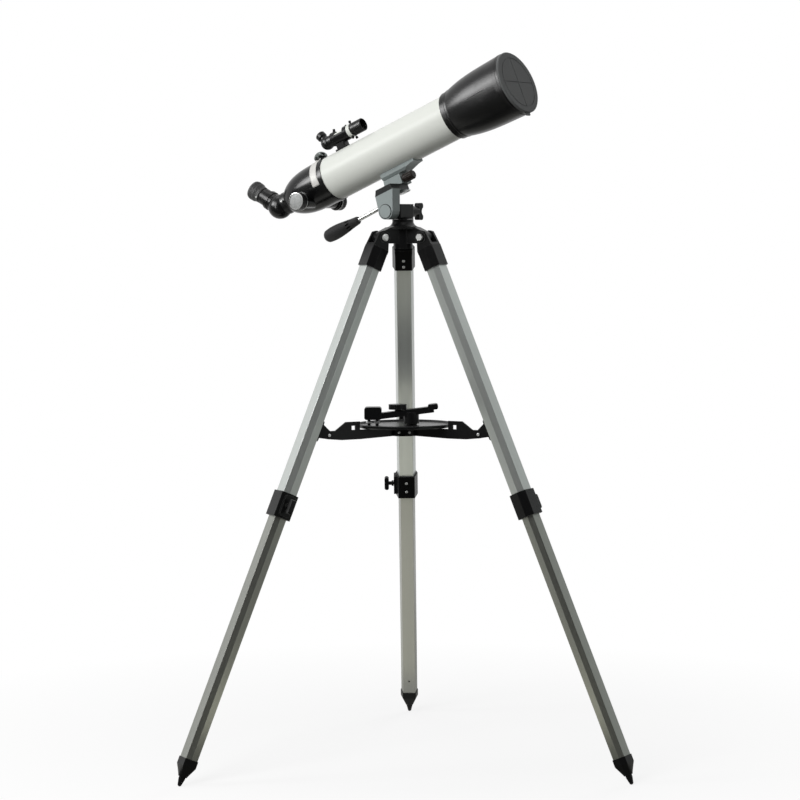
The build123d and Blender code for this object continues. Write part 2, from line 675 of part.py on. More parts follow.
def clamp_base():
    """Quick-release block on the platform, with a dovetail groove for the saddle's foot."""
    body = side_slab(
        [(BASE_REAR, PLATFORM_TOP), (BASE_FRONT, PLATFORM_TOP), (BASE_FRONT, CLAMP_TOP),
         (BASE_REAR + 3, CLAMP_TOP)],
        -BASE_HALF, BASE_HALF,
    )
    groove = Pos(0, 0, BASE_REAR - OVER) * extrude(dovetail(0), BASE_FRONT - BASE_REAR + 2 * OVER)
    screw_hole = pin_up(SCREW_THREAD_R + RUN_GAP, 0, SCREW_S, PLATFORM_TOP - OVER, CLAMP_TOP)
    clamp_hole = Pos(CLAMP_X, CLAMP_U, BASE_FRONT) * rod(CLAMP_STEM_R + RUN_GAP, -CLAMP_STEM - OVER, OVER)
    return SCOPE_FRAME * (body - groove - screw_hole - clamp_hole)


def clamp_knob():
    """Fluted thumb knob at the clamp's front end."""
    end = CLAMP_KNOB_LENGTH
    stem = rod(CLAMP_STEM_R, -CLAMP_STEM, 2)
    knob = turned((0, 0.5), (6.5, 0.5), (CLAMP_KNOB_R, 4), (CLAMP_KNOB_R, end - 2.5), (CLAMP_KNOB_R - 2, end),
                  (0, end))
    knob -= ring_of(8, Pos(CLAMP_KNOB_R + 1.2, 0, 0) * rod(2.2, 7, end + OVER))
    return SCOPE_FRAME * (Pos(CLAMP_X, CLAMP_U, BASE_FRONT) * (stem + knob))


def tube_saddle():
    """Block hollowed to the tube and arched under its front, with the dovetail foot that the clamp takes."""
    flank = SADDLE_BOTTOM + 5
    section = make_face(Polyline(
        (-CRADLE_SOLE, SADDLE_BOTTOM), (CRADLE_SOLE, SADDLE_BOTTOM), (CRADLE_HALF, flank),
        (CRADLE_HALF, CRADLE_LIP), (-CRADLE_HALF, CRADLE_LIP), (-CRADLE_HALF, flank), close=True))
    cradle = Pos(0, 0, CRADLE_REAR) * extrude(section, CRADLE_FRONT - CRADLE_REAR)
    cradle -= rod(TUBE_R, CRADLE_REAR - OVER, CRADLE_FRONT + OVER)
    cradle -= Pos(0, ARCH_U, CRADLE_FRONT + 2) * Rot(0, 90, 0) * Cylinder(ARCH_R, 4 * CRADLE_HALF)
    foot_bar = Pos(0, 0, BASE_REAR) * extrude(dovetail(RUN_GAP), BASE_FRONT - BASE_REAR)
    neck = block(-8, 8, CLAMP_TOP + 0.4, SADDLE_BOTTOM, BASE_REAR, BASE_FRONT)
    return SCOPE_FRAME * (cradle + foot_bar + neck)


# Optical tube
def main_tube():
    return SCOPE_FRAME * tube(TUBE_R, TUBE_R - TUBE_WALL, TUBE_REAR, TUBE_FRONT)


def bell_line(inset):
    """The bell's swelling line, moved in by a wall's thickness."""
    return Spline(
        (SHIELD_NECK_R - inset, SHIELD_STEP),
        (SHIELD_R - 6.0 - inset, SHIELD_STEP + 31),
        (SHIELD_R - 1.9 - inset, SHIELD_STEP + 75),
        (SHIELD_R - inset, SHIELD_FRONT - MOUTH),
    )


def dew_shield():
    """Bell-shaped dew shield: ribbed collar over the tube, convex flare, thin open mouth."""
    stop_r = TUBE_R - 2
    inner_r = SHIELD_R - SHIELD_WALL
    mouth_z = SHIELD_FRONT - MOUTH
    collar = turned(
        (TUBE_R, SHIELD_REAR), (COLLAR_R, SHIELD_REAR), (COLLAR_R, SHIELD_REAR + 10),
        (SHIELD_NECK_R, SHIELD_REAR + 12), (SHIELD_NECK_R, SHIELD_STEP), (stop_r, SHIELD_STEP),
        (stop_r, TUBE_FRONT), (TUBE_R, TUBE_FRONT),
    )
    bell = turned_edges(
        bell_line(0),
        Line((SHIELD_R, mouth_z), (SHIELD_R, SHIELD_FRONT)),
        Line((SHIELD_R, SHIELD_FRONT), (inner_r, SHIELD_FRONT)),
        Line((inner_r, SHIELD_FRONT), (inner_r, mouth_z)),
        bell_line(SHIELD_WALL),
        Line((SHIELD_NECK_R - SHIELD_WALL, SHIELD_STEP), (SHIELD_NECK_R, SHIELD_STEP)),
    )
    band_r = SHIELD_R + 0.6
    band = turned((SHIELD_R - 1, SHIELD_FRONT - 9), (band_r, SHIELD_FRONT - 8),
                  (band_r, SHIELD_FRONT - 5), (SHIELD_R - 1, SHIELD_FRONT - 4))
    return SCOPE_FRAME * (collar + bell + band)


def dust_cap():
    """Push-in lens cap with a grooved face and a small lifting tab."""
    back = SHIELD_FRONT + LOOSE_GAP
    face = back + CAP_T
    skirt_r = SHIELD_R - SHIELD_WALL - LOOSE_GAP
    cap = turned((0, back), (SHIELD_R, back), (SHIELD_R, face - 1.5), (SHIELD_R - 1.5, face), (0, face))
    cap += rod(skirt_r, back - CAP_SKIRT, back) - rod(skirt_r - 2, back - CAP_SKIRT - OVER, back)
    floor = face - CAP_GROOVE / 2
    groove = tube(CAP_RING_R + CAP_GROOVE / 2, CAP_RING_R - CAP_GROOVE / 2, floor, face + OVER)
    line = block(-CAP_RING_R, CAP_RING_R, -CAP_GROOVE / 2, CAP_GROOVE / 2, floor, face + OVER)
    cross = [Rot(0, 0, turn) * line for turn in (0, 90)]
    tab = block(-6, 6, -SHIELD_R - CAP_TAB, -SHIELD_R + CAP_TAB, back, back + 3)
    return SCOPE_FRAME * (cap + tab - groove - cross)


def lens_cell():
    """Threaded cell inside the tube's front end; two lips hold the objective."""
    outer = TUBE_R - TUBE_WALL
    front = TUBE_FRONT - CELL_LIP
    rear = CELL_REAR + CELL_LIP
    cell = turned((outer, CELL_REAR), (outer, TUBE_FRONT), (LIP_R, TUBE_FRONT), (LIP_R, front),
                  (LENS_R, front), (LENS_R, rear), (LIP_R, rear), (LIP_R, CELL_REAR))
    return SCOPE_FRAME * cell


def objective_lens():
    """Crown and flint of the achromat, with a thin air gap between them."""
    rear = CELL_REAR + CELL_LIP + LOOSE_GAP
    front = TUBE_FRONT - CELL_LIP - LOOSE_GAP
    joint_edge = front - 6
    joint_apex = rear + 9.5
    air = 0.5
    crown = lens(LENS_R, joint_edge, joint_apex, front, front + 3.5)
    flint = lens(LENS_R, rear, rear + 2.5, joint_edge - air, joint_apex - air)
    return Compound([SCOPE_FRAME * crown, SCOPE_FRAME * flint])


def rear_cell():
    """Domed rear casting: flange over the tube's end, focuser housing and drawtube neck."""
    flange_end = TUBE_REAR - FLANGE_T
    hollow_front = TUBE_REAR + PLUG_LENGTH + OVER
    neck_start = DOME[2][1]
    inner_end = (DOME[2][0] - DOME_WALL, neck_start)
    shell = turned_edges(
        Line((0, TUBE_REAR), (FLANGE_R, TUBE_REAR)),
        Line((FLANGE_R, TUBE_REAR), (FLANGE_R, flange_end)),
        Line((FLANGE_R, flange_end), DOME[0]),
        Spline(*DOME),
        Line(DOME[-1], (0, NECK_END)),
        Line((0, NECK_END), (0, TUBE_REAR)),
    )
    plug = rod(TUBE_R - TUBE_WALL, TUBE_REAR, TUBE_REAR + PLUG_LENGTH)
    hollow = turned_edges(
        Line((0, hollow_front), (PLUG_BORE, hollow_front)),
        Line((PLUG_BORE, hollow_front), (PLUG_BORE, flange_end)),
        Spline((PLUG_BORE, flange_end), (DOME[1][0] - DOME_WALL, DOME[1][1]), inner_end),
        Line(inner_end, (0, neck_start)),
        Line((0, neck_start), (0, hollow_front)),
    )
    boss = FOCUS_AXIS * rod(FOCUS_BOSS_R, -FOCUS_BOSS, FOCUS_BOSS)
    shaft_bore = FOCUS_AXIS * rod(FOCUS_SHAFT_R + RUN_GAP, -2 * FOCUS_BOSS, 2 * FOCUS_BOSS)
    bore = rod(DRAW_R + LOOSE_GAP, NECK_END - OVER, neck_start + OVER)
    keyway = block(-5, 5, -23.2, -10, NECK_END - OVER, neck_start + OVER)
    lock_seat = pin_up(11, 0, LOCK_S, LOCK_SEAT - 10, LOCK_SEAT)
    lock_hole = pin_up(LOCK_STEM_R + RUN_GAP, 0, LOCK_S, LOCK_SEAT - 20, LOCK_SEAT + OVER)
    cell = SCOPE_FRAME * (shell + plug + lock_seat) + boss
    return cell - SCOPE_FRAME * (hollow + bore + keyway + lock_hole) - shaft_bore


def tooth(root, tip, width):
    """One trapezoid tooth standing along X, across the width along Z."""
    wide = TOOTH_WIDE / 2
    narrow = TOOTH_NARROW / 2
    face = make_face(Polyline((root, -wide), (tip, -narrow), (tip, narrow), (root, wide), close=True))
    return Pos(0, 0, -width / 2) * extrude(face, width)


def focus_shaft():
    """Cross shaft with the pinion that drives the drawtube's rack."""
    root = PITCH_R - DEDENDUM
    shaft = rod(FOCUS_SHAFT_R, -KNOB_OUT + 4, KNOB_OUT - 4)
    pinion = rod(root, -PINION_WIDTH / 2, PINION_WIDTH / 2)
    pinion += ring_of(PINION_TEETH, tooth(root - 0.4, PITCH_R + ADDENDUM, PINION_WIDTH))
    return FOCUS_AXIS * (shaft + pinion)


def focus_knobs():
    """A ribbed knob on each end of the focus shaft, with a raised rim round its face."""
    neck_r = KNOB_R - 2.5
    face = KNOB_OUT - 1.2
    rim_in = KNOB_R - KNOB_RIM
    knob = turned(
        (FOCUS_SHAFT_R, KNOB_IN), (neck_r, KNOB_IN), (neck_r, KNOB_IN + 4), (KNOB_R, KNOB_IN + 6),
        (KNOB_R, KNOB_OUT - 1), (KNOB_R - 1, KNOB_OUT), (rim_in, KNOB_OUT), (rim_in, face), (0, face),
        (0, KNOB_OUT - 4), (FOCUS_SHAFT_R, KNOB_OUT - 4),
    )
    rib_gap = Pos(KNOB_R + 0.4, 0, 0) * rod(1.0, KNOB_IN + 7.5, KNOB_OUT - 3)
    knob -= ring_of(KNOB_RIBS, rib_gap)
    return Compound([FOCUS_AXIS * knob, FOCUS_AXIS * Rot(0, 180, 0) * knob])


def drawtube():
    """Sliding focuser tube with a rack below and a clamp collar at its outer end."""
    body = rod(DRAW_R, DRAW_END, DRAW_FRONT) + rod(DRAW_COLLAR_R, DRAW_END, NECK_END - OVER)
    body += block(-RACK_WIDTH / 2, RACK_WIDTH / 2, RACK_LINE + DEDENDUM, 3 - DRAW_R, RACK_REAR, RACK_FRONT)
    side_count = int((RACK_FRONT - RACK_REAR) / PITCH / 2)
    rack_tooth = Rot(0, 0, -90) * Rot(-90, 0, 0) * tooth(-DEDENDUM - 0.3, ADDENDUM, RACK_WIDTH)
    for n in range(1 - side_count, side_count):
        body += Pos(0, RACK_LINE, FOCUS_S + (n + 0.5) * PITCH) * rack_tooth
    return SCOPE_FRAME * (body - rod(DRAW_BORE, DRAW_END - OVER, DRAW_FRONT + OVER))


def focus_lock_knob():
    """Domed lock screw on top of the rear casting."""
    knob = turned_edges(
        Line((0, 0), (LOCK_R - 1, 0)),
        Line((LOCK_R - 1, 0), (LOCK_R, 1.5)),
        Line((LOCK_R, 1.5), (LOCK_R, 4)),
        cap_arc(LOCK_R, 4, LOCK_HIGH),
        Line((0, LOCK_HIGH), (0, 0)),
    )
    stem = rod(LOCK_STEM_R, -12, 0)
    return SCOPE_FRAME * (Pos(0, LOCK_SEAT + LOOSE_GAP, LOCK_S) * Rot(-90, 0, 0) * (knob + stem))


def diagonal_housing():
    """Ball-shaped erecting diagonal: nose in the drawtube, eyepiece holder turned up."""
    face = DRAW_END - LOOSE_GAP
    ball = SCOPE_FRAME * (Pos(0, 0, BALL_S) * Sphere(BALL_R))
    ball -= SCOPE_FRAME * rod(2 * BALL_R, face, face + 2 * BALL_R)
    nose = SCOPE_FRAME * rod(DRAW_BORE - RUN_GAP, face - 4, face + NOSE)
    holder = EYE_AXIS * (rod(HOLDER_R, 12, HOLDER_END) + rod(HOLDER_R + 1.5, HOLDER_END - 10, HOLDER_END - 3))
    light_in = SCOPE_FRAME * rod(DRAW_BORE - 2.4, BALL_S + 11, face + NOSE + OVER)
    light_out = EYE_AXIS * rod(DRAW_BORE, 11, HOLDER_END + OVER)
    between_cheeks = block(-PRISM_HALF, PRISM_HALF, -BALL_R, BALL_R, -BALL_R, BALL_R)
    room = SCOPE_FRAME * (Pos(0, 0, BALL_S) * (Sphere(PRISM_ROOM_R) & between_cheeks))
    return ball + nose + holder - light_in - light_out - room


def diagonal_prism():
    """Prism, held between two cheeks of the ball, that turns the light up to the eyepiece."""
    half = PRISM_HALF
    wedge = side_slab([(-half, -half), (half, -half), (half, half), (-half / 5, half)], -half, half)
    return SCOPE_FRAME * (Pos(0, 0, BALL_S) * wedge)


def eyepiece_barrel():
    """Eyepiece: push-in nose and a stepped black body."""
    nose_r = DRAW_BORE - RUN_GAP
    body_r = BARREL_R + 1.5
    shoulder = HOLDER_END + LOOSE_GAP
    barrel = turned((EYE_BORE, BARREL_IN), (nose_r, BARREL_IN), (nose_r, shoulder), (body_r, shoulder),
                    (body_r, 47), (BARREL_R, 49), (BARREL_R, BARREL_END), (EYE_BORE, BARREL_END))
    return EYE_AXIS * barrel


def eyecup():
    """Flared rubber cup round the eye end, ribbed on its outside."""
    cup = turned(
        (BARREL_R, 50), (17, 50), (17.5, 56), (CUP_R - 0.4, 62), (CUP_R, 72), (CUP_R - 1.2, CUP_END),
        (CUP_R - 2.8, CUP_END), (CUP_R - 3.8, 68), (BARREL_R, BARREL_END),
    )
    grooves = [tube(CUP_R + 2, CUP_R - 1, z, z + 1.2) for z in (64.0, 67.0, 70.0)]
    return EYE_AXIS * (cup - grooves)


def eyepiece_lenses():
    """Field lens at the bottom of the eyepiece and eye lens at its top."""
    bulge = 2.0
    edge = 0.6
    lenses = []
    for middle in (22.5, 60.0):
        shape = lens(EYE_BORE, middle - edge, middle - bulge, middle + edge, middle + bulge)
        lenses.append(EYE_AXIS * shape)
    return Compound(lenses)


# Finder
def finder_bracket():
    """Trough with a ring at each end, a foot that stands on the tube, and the rings' centring screws."""
    front, rear = RING_STATIONS
    tube_top = TUBE_R - FINDER_U
    trough = tube(RING_R, RING_BORE, rear, front)
    bracket = trough - block(-RING_R, RING_R, TROUGH_TOP, 2 * RING_R, rear - OVER, front + OVER)
    foot_block = block(-9, 9, tube_top - 5, OVER - RING_R, rear + 1, rear + 22)
    bracket += fillet(foot_block.edges().filter_by(Axis.Y), 2)
    bracket += block(-9, 9, tube_top - 5, tube_top + 3, rear - 3, rear + 27)
    for station in RING_STATIONS:
        bracket += tube(RING_R, RING_BORE, station - RING_HALF, station + RING_HALF)
        for turn in (90, 210, 330):
            screw = pin_forward(RING_SCREW_R, 0, 0, FINDER_TUBE_R, RING_R + 1.5)
            bracket += Pos(0, 0, station) * Rot(0, 0, turn) * screw
    bracket -= rod(FINDER_TUBE_R, rear - 20, front + 20)
    return FINDER_LINE * bracket - SCOPE_FRAME * rod(TUBE_R, rear - 40, front + 40)


def finder_tube():
    """White finder tube with a raised band behind its hood."""
    inner = FINDER_TUBE_R - FINDER_WALL
    rear = FINDER_BALL_S + 12
    outline = [(inner, rear), (FINDER_TUBE_R, rear), (FINDER_TUBE_R, FINDER_BAND),
               (FINDER_BAND_R, FINDER_BAND), (FINDER_BAND_R, HOOD_REAR), (FINDER_TUBE_R, HOOD_REAR),
               (FINDER_TUBE_R, FINDER_TUBE_FRONT), (inner, FINDER_TUBE_FRONT)]
    return FINDER_LINE * turned(*outline)


def finder_hood():
    """Ribbed hood on the finder's front."""
    bore = FINDER_TUBE_R + 0.8
    hood = turned((FINDER_TUBE_R, HOOD_REAR), (HOOD_R - 0.7, HOOD_REAR), (HOOD_R, HOOD_REAR + 3.5),
                  (HOOD_R, FINDER_FRONT - 1), (HOOD_R - 0.8, FINDER_FRONT), (bore, FINDER_FRONT),
                  (bore, HOOD_STEP), (FINDER_TUBE_R, HOOD_STEP))
    for n in range(6):
        station = HOOD_REAR + 6 + 3.4 * n
        hood -= tube(HOOD_R + 2, HOOD_R - 0.6, station, station + 1.2)
    return FINDER_LINE * hood


def finder_lens():
    bulge = 2.6
    edge = 0.8
    middle = FINDER_TUBE_FRONT - 3.2
    radius = FINDER_TUBE_R - FINDER_WALL
    return FINDER_LINE * lens(radius, middle - edge, middle - bulge, middle + edge, middle + bulge)


def finder_elbow():
    """Ball-shaped prism housing behind the finder tube."""
    mouth = FINDER_BALL_S + 15
    body = FINDER_LINE * (Pos(0, 0, FINDER_BALL_S) * Sphere(FINDER_BALL_R))
    body += FINDER_LINE * rod(FINDER_SLEEVE_R, FINDER_BALL_S + 5, mouth)
    body += FINDER_EYE * rod(FINDER_HOLDER_R, 5, FINDER_HOLDER_END)
    body -= FINDER_LINE * rod(FINDER_TUBE_R, FINDER_BALL_S + 12, mouth + OVER)
    body -= FINDER_LINE * rod(8, FINDER_BALL_S, mouth + OVER)
    return body - FINDER_EYE * rod(FINDER_BORE, 0, FINDER_HOLDER_END + OVER)


def finder_eyepiece():
    """Small screw-in eyepiece with a thick rounded eyecup."""
    nose_r = FINDER_BORE - RUN_GAP
    shoulder = FINDER_HOLDER_END + LOOSE_GAP
    end = FINDER_EYE_END
    body = turned((5.2, 3), (nose_r, 3), (nose_r, shoulder), (9.0, shoulder), (10.4, shoulder + 2.5),
                  (10.4, end - 2), (8.8, end), (6.0, end), (5.2, end - 4))
    return FINDER_EYE * body


# Every node of the finished telescope
SINGLE_PIECES = (
    tripod_hub, hinge_bolts, spreader_hub, spreader_pins, tray_plate, phone_adapter,
    pan_base, tilt_arm, tilt_lock_knob, handle_rod, handle_grip, platform_screw,
    clamp_base, clamp_knob, tube_saddle, main_tube, dew_shield, dust_cap, lens_cell, objective_lens,
    rear_cell, focus_shaft, focus_knobs, drawtube, focus_lock_knob,
    diagonal_housing, diagonal_prism, eyepiece_barrel, eyecup, eyepiece_lenses,
    finder_bracket, finder_tube, finder_hood, finder_lens, finder_elbow, finder_eyepiece,
)
LEG_PIECES = (leg_bracket, upper_leg, leg_collar, collar_thumbscrew, spreader_lug, lower_leg, foot)


def build():
    nodes = {piece.__name__: piece() for piece in SINGLE_PIECES}
    leg = {piece.__name__: piece() for piece in LEG_PIECES}
    arm = spreader_arm()
    for number, azimuth in enumerate(LEG_AZIMUTHS, start=1):
        for name, piece in leg.items():
            nodes[f"{name}_{number}"] = leg_frame(azimuth) * piece
        nodes[f"spreader_arm_{number}"] = upright_frame(azimuth) * arm
    return nodes


for node, shape in build().items():
    export_step(Pos(0, AXIS_Y, 0) * shape, f"parts/{node}.step")
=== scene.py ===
"""Finishes, small fittings and studio for a small refracting telescope on a tripod.

Local sizes are millimetres in the frames of the legs and the telescope; the scene is in metres.
"""
import json
import math

import bmesh
import bpy
from bpy.props import FloatProperty, FloatVectorProperty, IntProperty, PointerProperty
from mathutils import Matrix, Vector


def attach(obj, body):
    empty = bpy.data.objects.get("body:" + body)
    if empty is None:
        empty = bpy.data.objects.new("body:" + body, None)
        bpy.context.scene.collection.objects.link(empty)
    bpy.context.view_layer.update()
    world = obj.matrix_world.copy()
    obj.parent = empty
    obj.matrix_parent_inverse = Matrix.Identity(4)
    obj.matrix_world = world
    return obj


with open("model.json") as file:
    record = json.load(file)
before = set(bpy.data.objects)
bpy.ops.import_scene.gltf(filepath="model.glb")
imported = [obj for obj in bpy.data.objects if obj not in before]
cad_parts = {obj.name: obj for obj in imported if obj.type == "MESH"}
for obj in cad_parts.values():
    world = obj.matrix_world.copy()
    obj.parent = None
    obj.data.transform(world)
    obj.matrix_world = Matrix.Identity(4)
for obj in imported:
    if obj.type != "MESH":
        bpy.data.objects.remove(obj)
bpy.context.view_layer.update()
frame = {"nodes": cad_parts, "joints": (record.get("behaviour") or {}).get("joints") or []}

bl_info = {
    "name": "Telescope on tripod",
    "version": (1, 0, 0),
    "blender": (4, 5, 0),
    "location": "3D View > Sidebar > Telescope",
    "description": "Dresses the packed telescope and sets its studio",
    "category": "Object",
}

MM = 0.001
SHARP_ANGLE = math.radians(35)
HEAD_SEGMENTS = 24
RING_SEGMENTS = 64
RAY_START = 100.0
LEGS = (1, 2, 3)
JOINTS = {joint["name"]: joint for joint in frame["joints"]}

# The legs' finish, leg by leg: its share of metal, and how far it is lightened as painted light, so that
# the legs are lit and shaded copies of one finish
LEG_METAL = {"upper": (0.60, 0.85, 0.85), "lower": (0.55, 0.96, 0.96)}
LEG_PAINTED_LIGHT = {"upper": (0.0, 0.0, 0.0), "lower": (0.12, 0.0, 0.0)}

# Stations along the telescope's axis, heights above it and radii, in millimetres, as the solids have them
DIAGONAL_STATION = -324.0
FINDER_HEIGHT = 71.5
FINDER_SCREWS = {-99.8: (90, 247, 293), -141.5: (90,)}
FINDER_SCREW_SEAT = 13.6
FINDER_SCREW_HEAD = (2.6, 6.0)
CLAMP_SCREW_HEAD = (2.5, 4.0)
NECK_SCREW = ((0.0, 0.0, -299.5), (-1.0, 0.06, 0.0))
EYEPIECE_SCREW = ((0.0, 37.0, -360.0), (-1.0, 0.0, 0.0))
PLATE_FRONT = -186.5
PLATE_FROM = 100.0
PLATE_TO = 193.0
PLATE_ROWS = 24
PLATE_COLUMNS = 6
PLATE_LIFT = 0.4
PLATE_THICKNESS = 0.6
RIB_REAR = 198.0
RIB_ANGLE = 179.0
RIB_STEPS = 32
RIB_HALF_WIDTH = 0.9
RIB_SECTION = (-20, 20, 55, 90, 125, 160, 200)
KNOB_FACE = 74.8
KNOB_RADIUS = 18.0
KNOB_BACK = 61.0
PLATFORM_BOTTOM = -88.0
PIVOT_DISC_RADIUS = 13.0
PIVOT_DISC_HEIGHT = 1.5

# Seats of rivets, screws and nuts on the legs and the spreader, in millimetres; a head is a radius and a
# height. The tray's height above the floor and the lugs' reach from the upright axis are in metres
BRACKET_FACE = -18.0
BRACKET_RIVETS = (-44.0, -57.0)
COLLAR_FACE = -18.6
COLLAR_RIVETS = (-551.0, -571.0)
RIVET_HEIGHT = 1.8
TRAY_CENTRE_HEIGHT = 0.656
LUG_REACH = 0.171
LUG_SIDE = 6.8
LUG_RIVET_HEAD = (3.1, 1.4)
HUB_SCREW_SEAT = 27.7
HUB_SCREW_HEAD = (2.8, 2.0)
HUB_SCREW_TURNS = (-111, -69)
ADAPTER_BOLTS = (-70.0, -54.0)
NUT_PROFILE = [(3.25, 3.5), (5.4, 3.5), (5.9, 4.0), (5.9, 7.5), (5.4, 8.0), (3.25, 8.0), (3.25, 3.5)]

# The studio, in metres. A softbox is its place and its size; a card is a colour and the spans of X, Y
# and Z that it covers
SOFTBOX_TARGET = (0.0, 0.0, 0.9)
SOFTBOXES = {
    "key": ((-1.6, -3.0, 2.7), 2.0),
    "left": ((-3.0, -0.8, 2.1), 0.8),
    "top": ((-0.8, 0.5, 3.8), 1.2),
    "rear": ((1.8, 3.0, 1.8), 2.0),
    "gloss": ((-2.3, -1.1, 1.65), 2.4),
}
GLOSS_TARGET = (0.2, -0.3, 1.3)
FLOOR_REACH = 30.0
FLOOR_FADE = (0.4, 1.3)
FLOOR_WHITE = (0.80, 1.0)
FLOOR_SEEN = (0.9, 0.9, 0.9)
FLOOR_BOUNCE = (0.22, 0.22, 0.21)
WHITE = (1.0, 1.0, 1.0, 1.0)
FLAG_LEVEL = (0.004, 0.004)
CARD_LEVEL = (0.006, 0.006)
CARDS = {
    "front_flag": ((0.05, 0.05, 0.05), ((-2.6, 2.6), (-3.0, -3.0), (0.0, 3.2))),
    "floor_flag": ((0.15, 0.15, 0.135), ((-2.6, 2.6), (-3.0, -0.3), FLAG_LEVEL)),
    "rear_flag": ((0.50, 0.50, 0.47), ((-0.2, 2.6), (-0.3, 1.4), FLAG_LEVEL)),
    "pale_flag": ((0.90, 0.90, 0.85), ((-2.6, -0.2), (-0.3, 1.4), FLAG_LEVEL)),
    "bounce_card": ((1.1, 1.08, 0.93), ((-0.13, 0.13), (-1.3, -0.05), CARD_LEVEL)),
    "wide_card": ((0.9, 0.88, 0.76), ((-0.4, 0.4), (-0.05, 0.27), CARD_LEVEL)),
    "left_flag": ((0.12, 0.12, 0.11), ((-2.2, -2.2), (-3.0, 0.3), (0.0, 1.4))),
    "right_flag": ((0.50, 0.52, 0.51), ((2.2, 2.2), (-3.0, 2.2), (0.0, 2.2))),
}
LEG_CARDS = ("bounce_card", "wide_card")


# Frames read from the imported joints
def joint_axis(name):
    return Vector(JOINTS[name]["axis"]).normalized()


def joint_place(name):
    return Vector(JOINTS[name]["pos_m"])


def frame_of(origin, x, y, z):
    """A matrix with the given axes as columns, for sizes in millimetres."""
    turn = Matrix((x, y, z)).transposed().to_4x4()
    return Matrix.Translation(origin) @ turn @ Matrix.Scale(MM, 4)


def upright_frame(height):
    """The world's axes on the tripod's upright axis, at a height in metres."""
    axis = joint_place("pan")
    return Matrix.Translation((axis.x, axis.y, height)) @ Matrix.Scale(MM, 4)


def scope_frame():
    """X across to the far side, Y up, Z forward along the tube."""
    across = joint_axis("tilt")
    up = joint_axis("platform_screw_turn")
    forward = joint_axis("dust_cap_pull")
    origin = joint_place("diagonal_turn") - forward * DIAGONAL_STATION * MM
    return frame_of(origin, across, up, forward)


def leg_frame(number):
    """X outward, Y along the hinge, Z up along the leg; origin on the hinge bolt."""
    along = joint_axis(f"leg_{number}_extend")
    side = joint_axis(f"leg_{number}_fold")
    return frame_of(joint_place(f"leg_{number}_fold"), side.cross(along), side, along)


def focus_frame():
    """Z along the focus shaft, towards the viewer's side."""
    across = joint_axis("tilt")
    forward = joint_axis("dust_cap_pull")
    return frame_of(joint_place("focus_turn"), forward, across.cross(forward) * -1, across * -1)


# Settings that a user would change
class TelescopeFinishes(bpy.types.PropertyGroup):
    """Colours of the finishes, as linear values."""

    enamel: FloatVectorProperty(
        name="Tube enamel", description="Pearl white paint of the tubes",
        subtype="COLOR", default=(0.72, 0.74, 0.69))
    plastic: FloatVectorProperty(
        name="Moulded black", description="Black mouldings of the tripod and head",
        subtype="COLOR", default=(0.0035, 0.0036, 0.0038))
    cap: FloatVectorProperty(
        name="Dust cap", description="Dark grey plastic of the dust cap",
        subtype="COLOR", default=(0.098, 0.102, 0.102))
    casting: FloatVectorProperty(
        name="Grey casting", description="Grey paint on the tilt arm and clamp",
        subtype="COLOR", default=(0.235, 0.275, 0.272))
    aluminium: FloatVectorProperty(
        name="Anodised aluminium", description="Satin legs",
        subtype="COLOR", default=(0.60, 0.63, 0.61))
    # The lower legs' colour is darkened as painted shade, for the dark floor that they reflect
    lower_leg_painted_shade: FloatVectorProperty(
        name="Inner leg tubes", description="Sliding lower legs, darkened as painted shade",
        subtype="COLOR", default=(0.33, 0.34, 0.31))
    bright: FloatVectorProperty(
        name="Bright metal", description="Chrome and zinc of rods, bolts and rivets",
        subtype="COLOR", default=(0.78, 0.79, 0.78))


class TelescopeFittings(bpy.types.PropertyGroup):
    """Sizes of the small fittings."""

    rivet_radius: FloatProperty(
        name="Rivet radius", description="Heads on brackets and collars, in millimetres",
        default=3.0, min=1.0, max=6.0)
    knurls: IntProperty(
        name="Knurls", description="Ridges round a thumbscrew's head", default=20, min=6, max=60)
    label_width: FloatProperty(
        name="Plate width", description="Bare plate on the rear casting, in millimetres",
        default=17.0, min=4.0, max=24.0)
    rib_length: FloatProperty(
        name="Rib length", description="Raised rib on the dew shield, in millimetres",
        default=52.0, min=10.0, max=60.0)


class TelescopeStudio(bpy.types.PropertyGroup):
    """Camera and light."""

    distance: FloatProperty(
        name="Distance", description="Camera to the tripod's upright axis",
        subtype="DISTANCE", unit="LENGTH", default=4.98)
    height: FloatProperty(
        name="Height", description="Camera above the floor",
        subtype="DISTANCE", unit="LENGTH", default=1.055)
    orbit: FloatProperty(
        name="Orbit", description="Camera swung round to the right of the front",
        subtype="ANGLE", default=math.radians(0.9))
    sidestep: FloatProperty(
        name="Sidestep", description="Camera moved to its left of the axis",
        subtype="DISTANCE", unit="LENGTH", default=0.0083)
    pitch: FloatProperty(
        name="Pitch", description="Camera tipped down", subtype="ANGLE", default=math.radians(3.87))
    roll: FloatProperty(
        name="Roll", description="Camera rolled", subtype="ANGLE", default=math.radians(-0.426))
    focal: FloatProperty(
        name="Focal length", description="Lens in millimetres on a 36 mm sensor", default=113.4)
    key_light: FloatProperty(
        name="Key light", description="Watts of the softbox in front and above", default=104.0)
    side_light: FloatProperty(
        name="Side light", description="Watts of the softbox on the left", default=24.0)
    top_light: FloatProperty(
        name="Top light", description="Watts of the softbox overhead", default=9.0)
    rear_light: FloatProperty(
        name="Rear light", description="Watts of the softbox behind", default=45.0)
    gloss_light: FloatProperty(
        name="Gloss light", description="Watts of the softbox seen only in the telescope's black parts",
        default=205.0)
    fill: FloatProperty(
        name="Fill", description="Strength of the even light all round", default=0.18)


# Node helpers
def add_node(tree, kind, **values):
    """A node with attributes and named input defaults set."""
    node = tree.nodes.new(kind)
    for name, value in values.items():
        if hasattr(node, name):
            setattr(node, name, value)
        else:
            node.inputs[name.replace("_", " ")].default_value = value
    return node


def math_node(tree, operation, first, second):
    node = add_node(tree, "ShaderNodeMath", operation=operation)
    for socket, value in zip(node.inputs, (first, second)):
        if isinstance(value, (int, float)):
            socket.default_value = value
        else:
            tree.links.new(value, socket)
    return node.outputs[0]


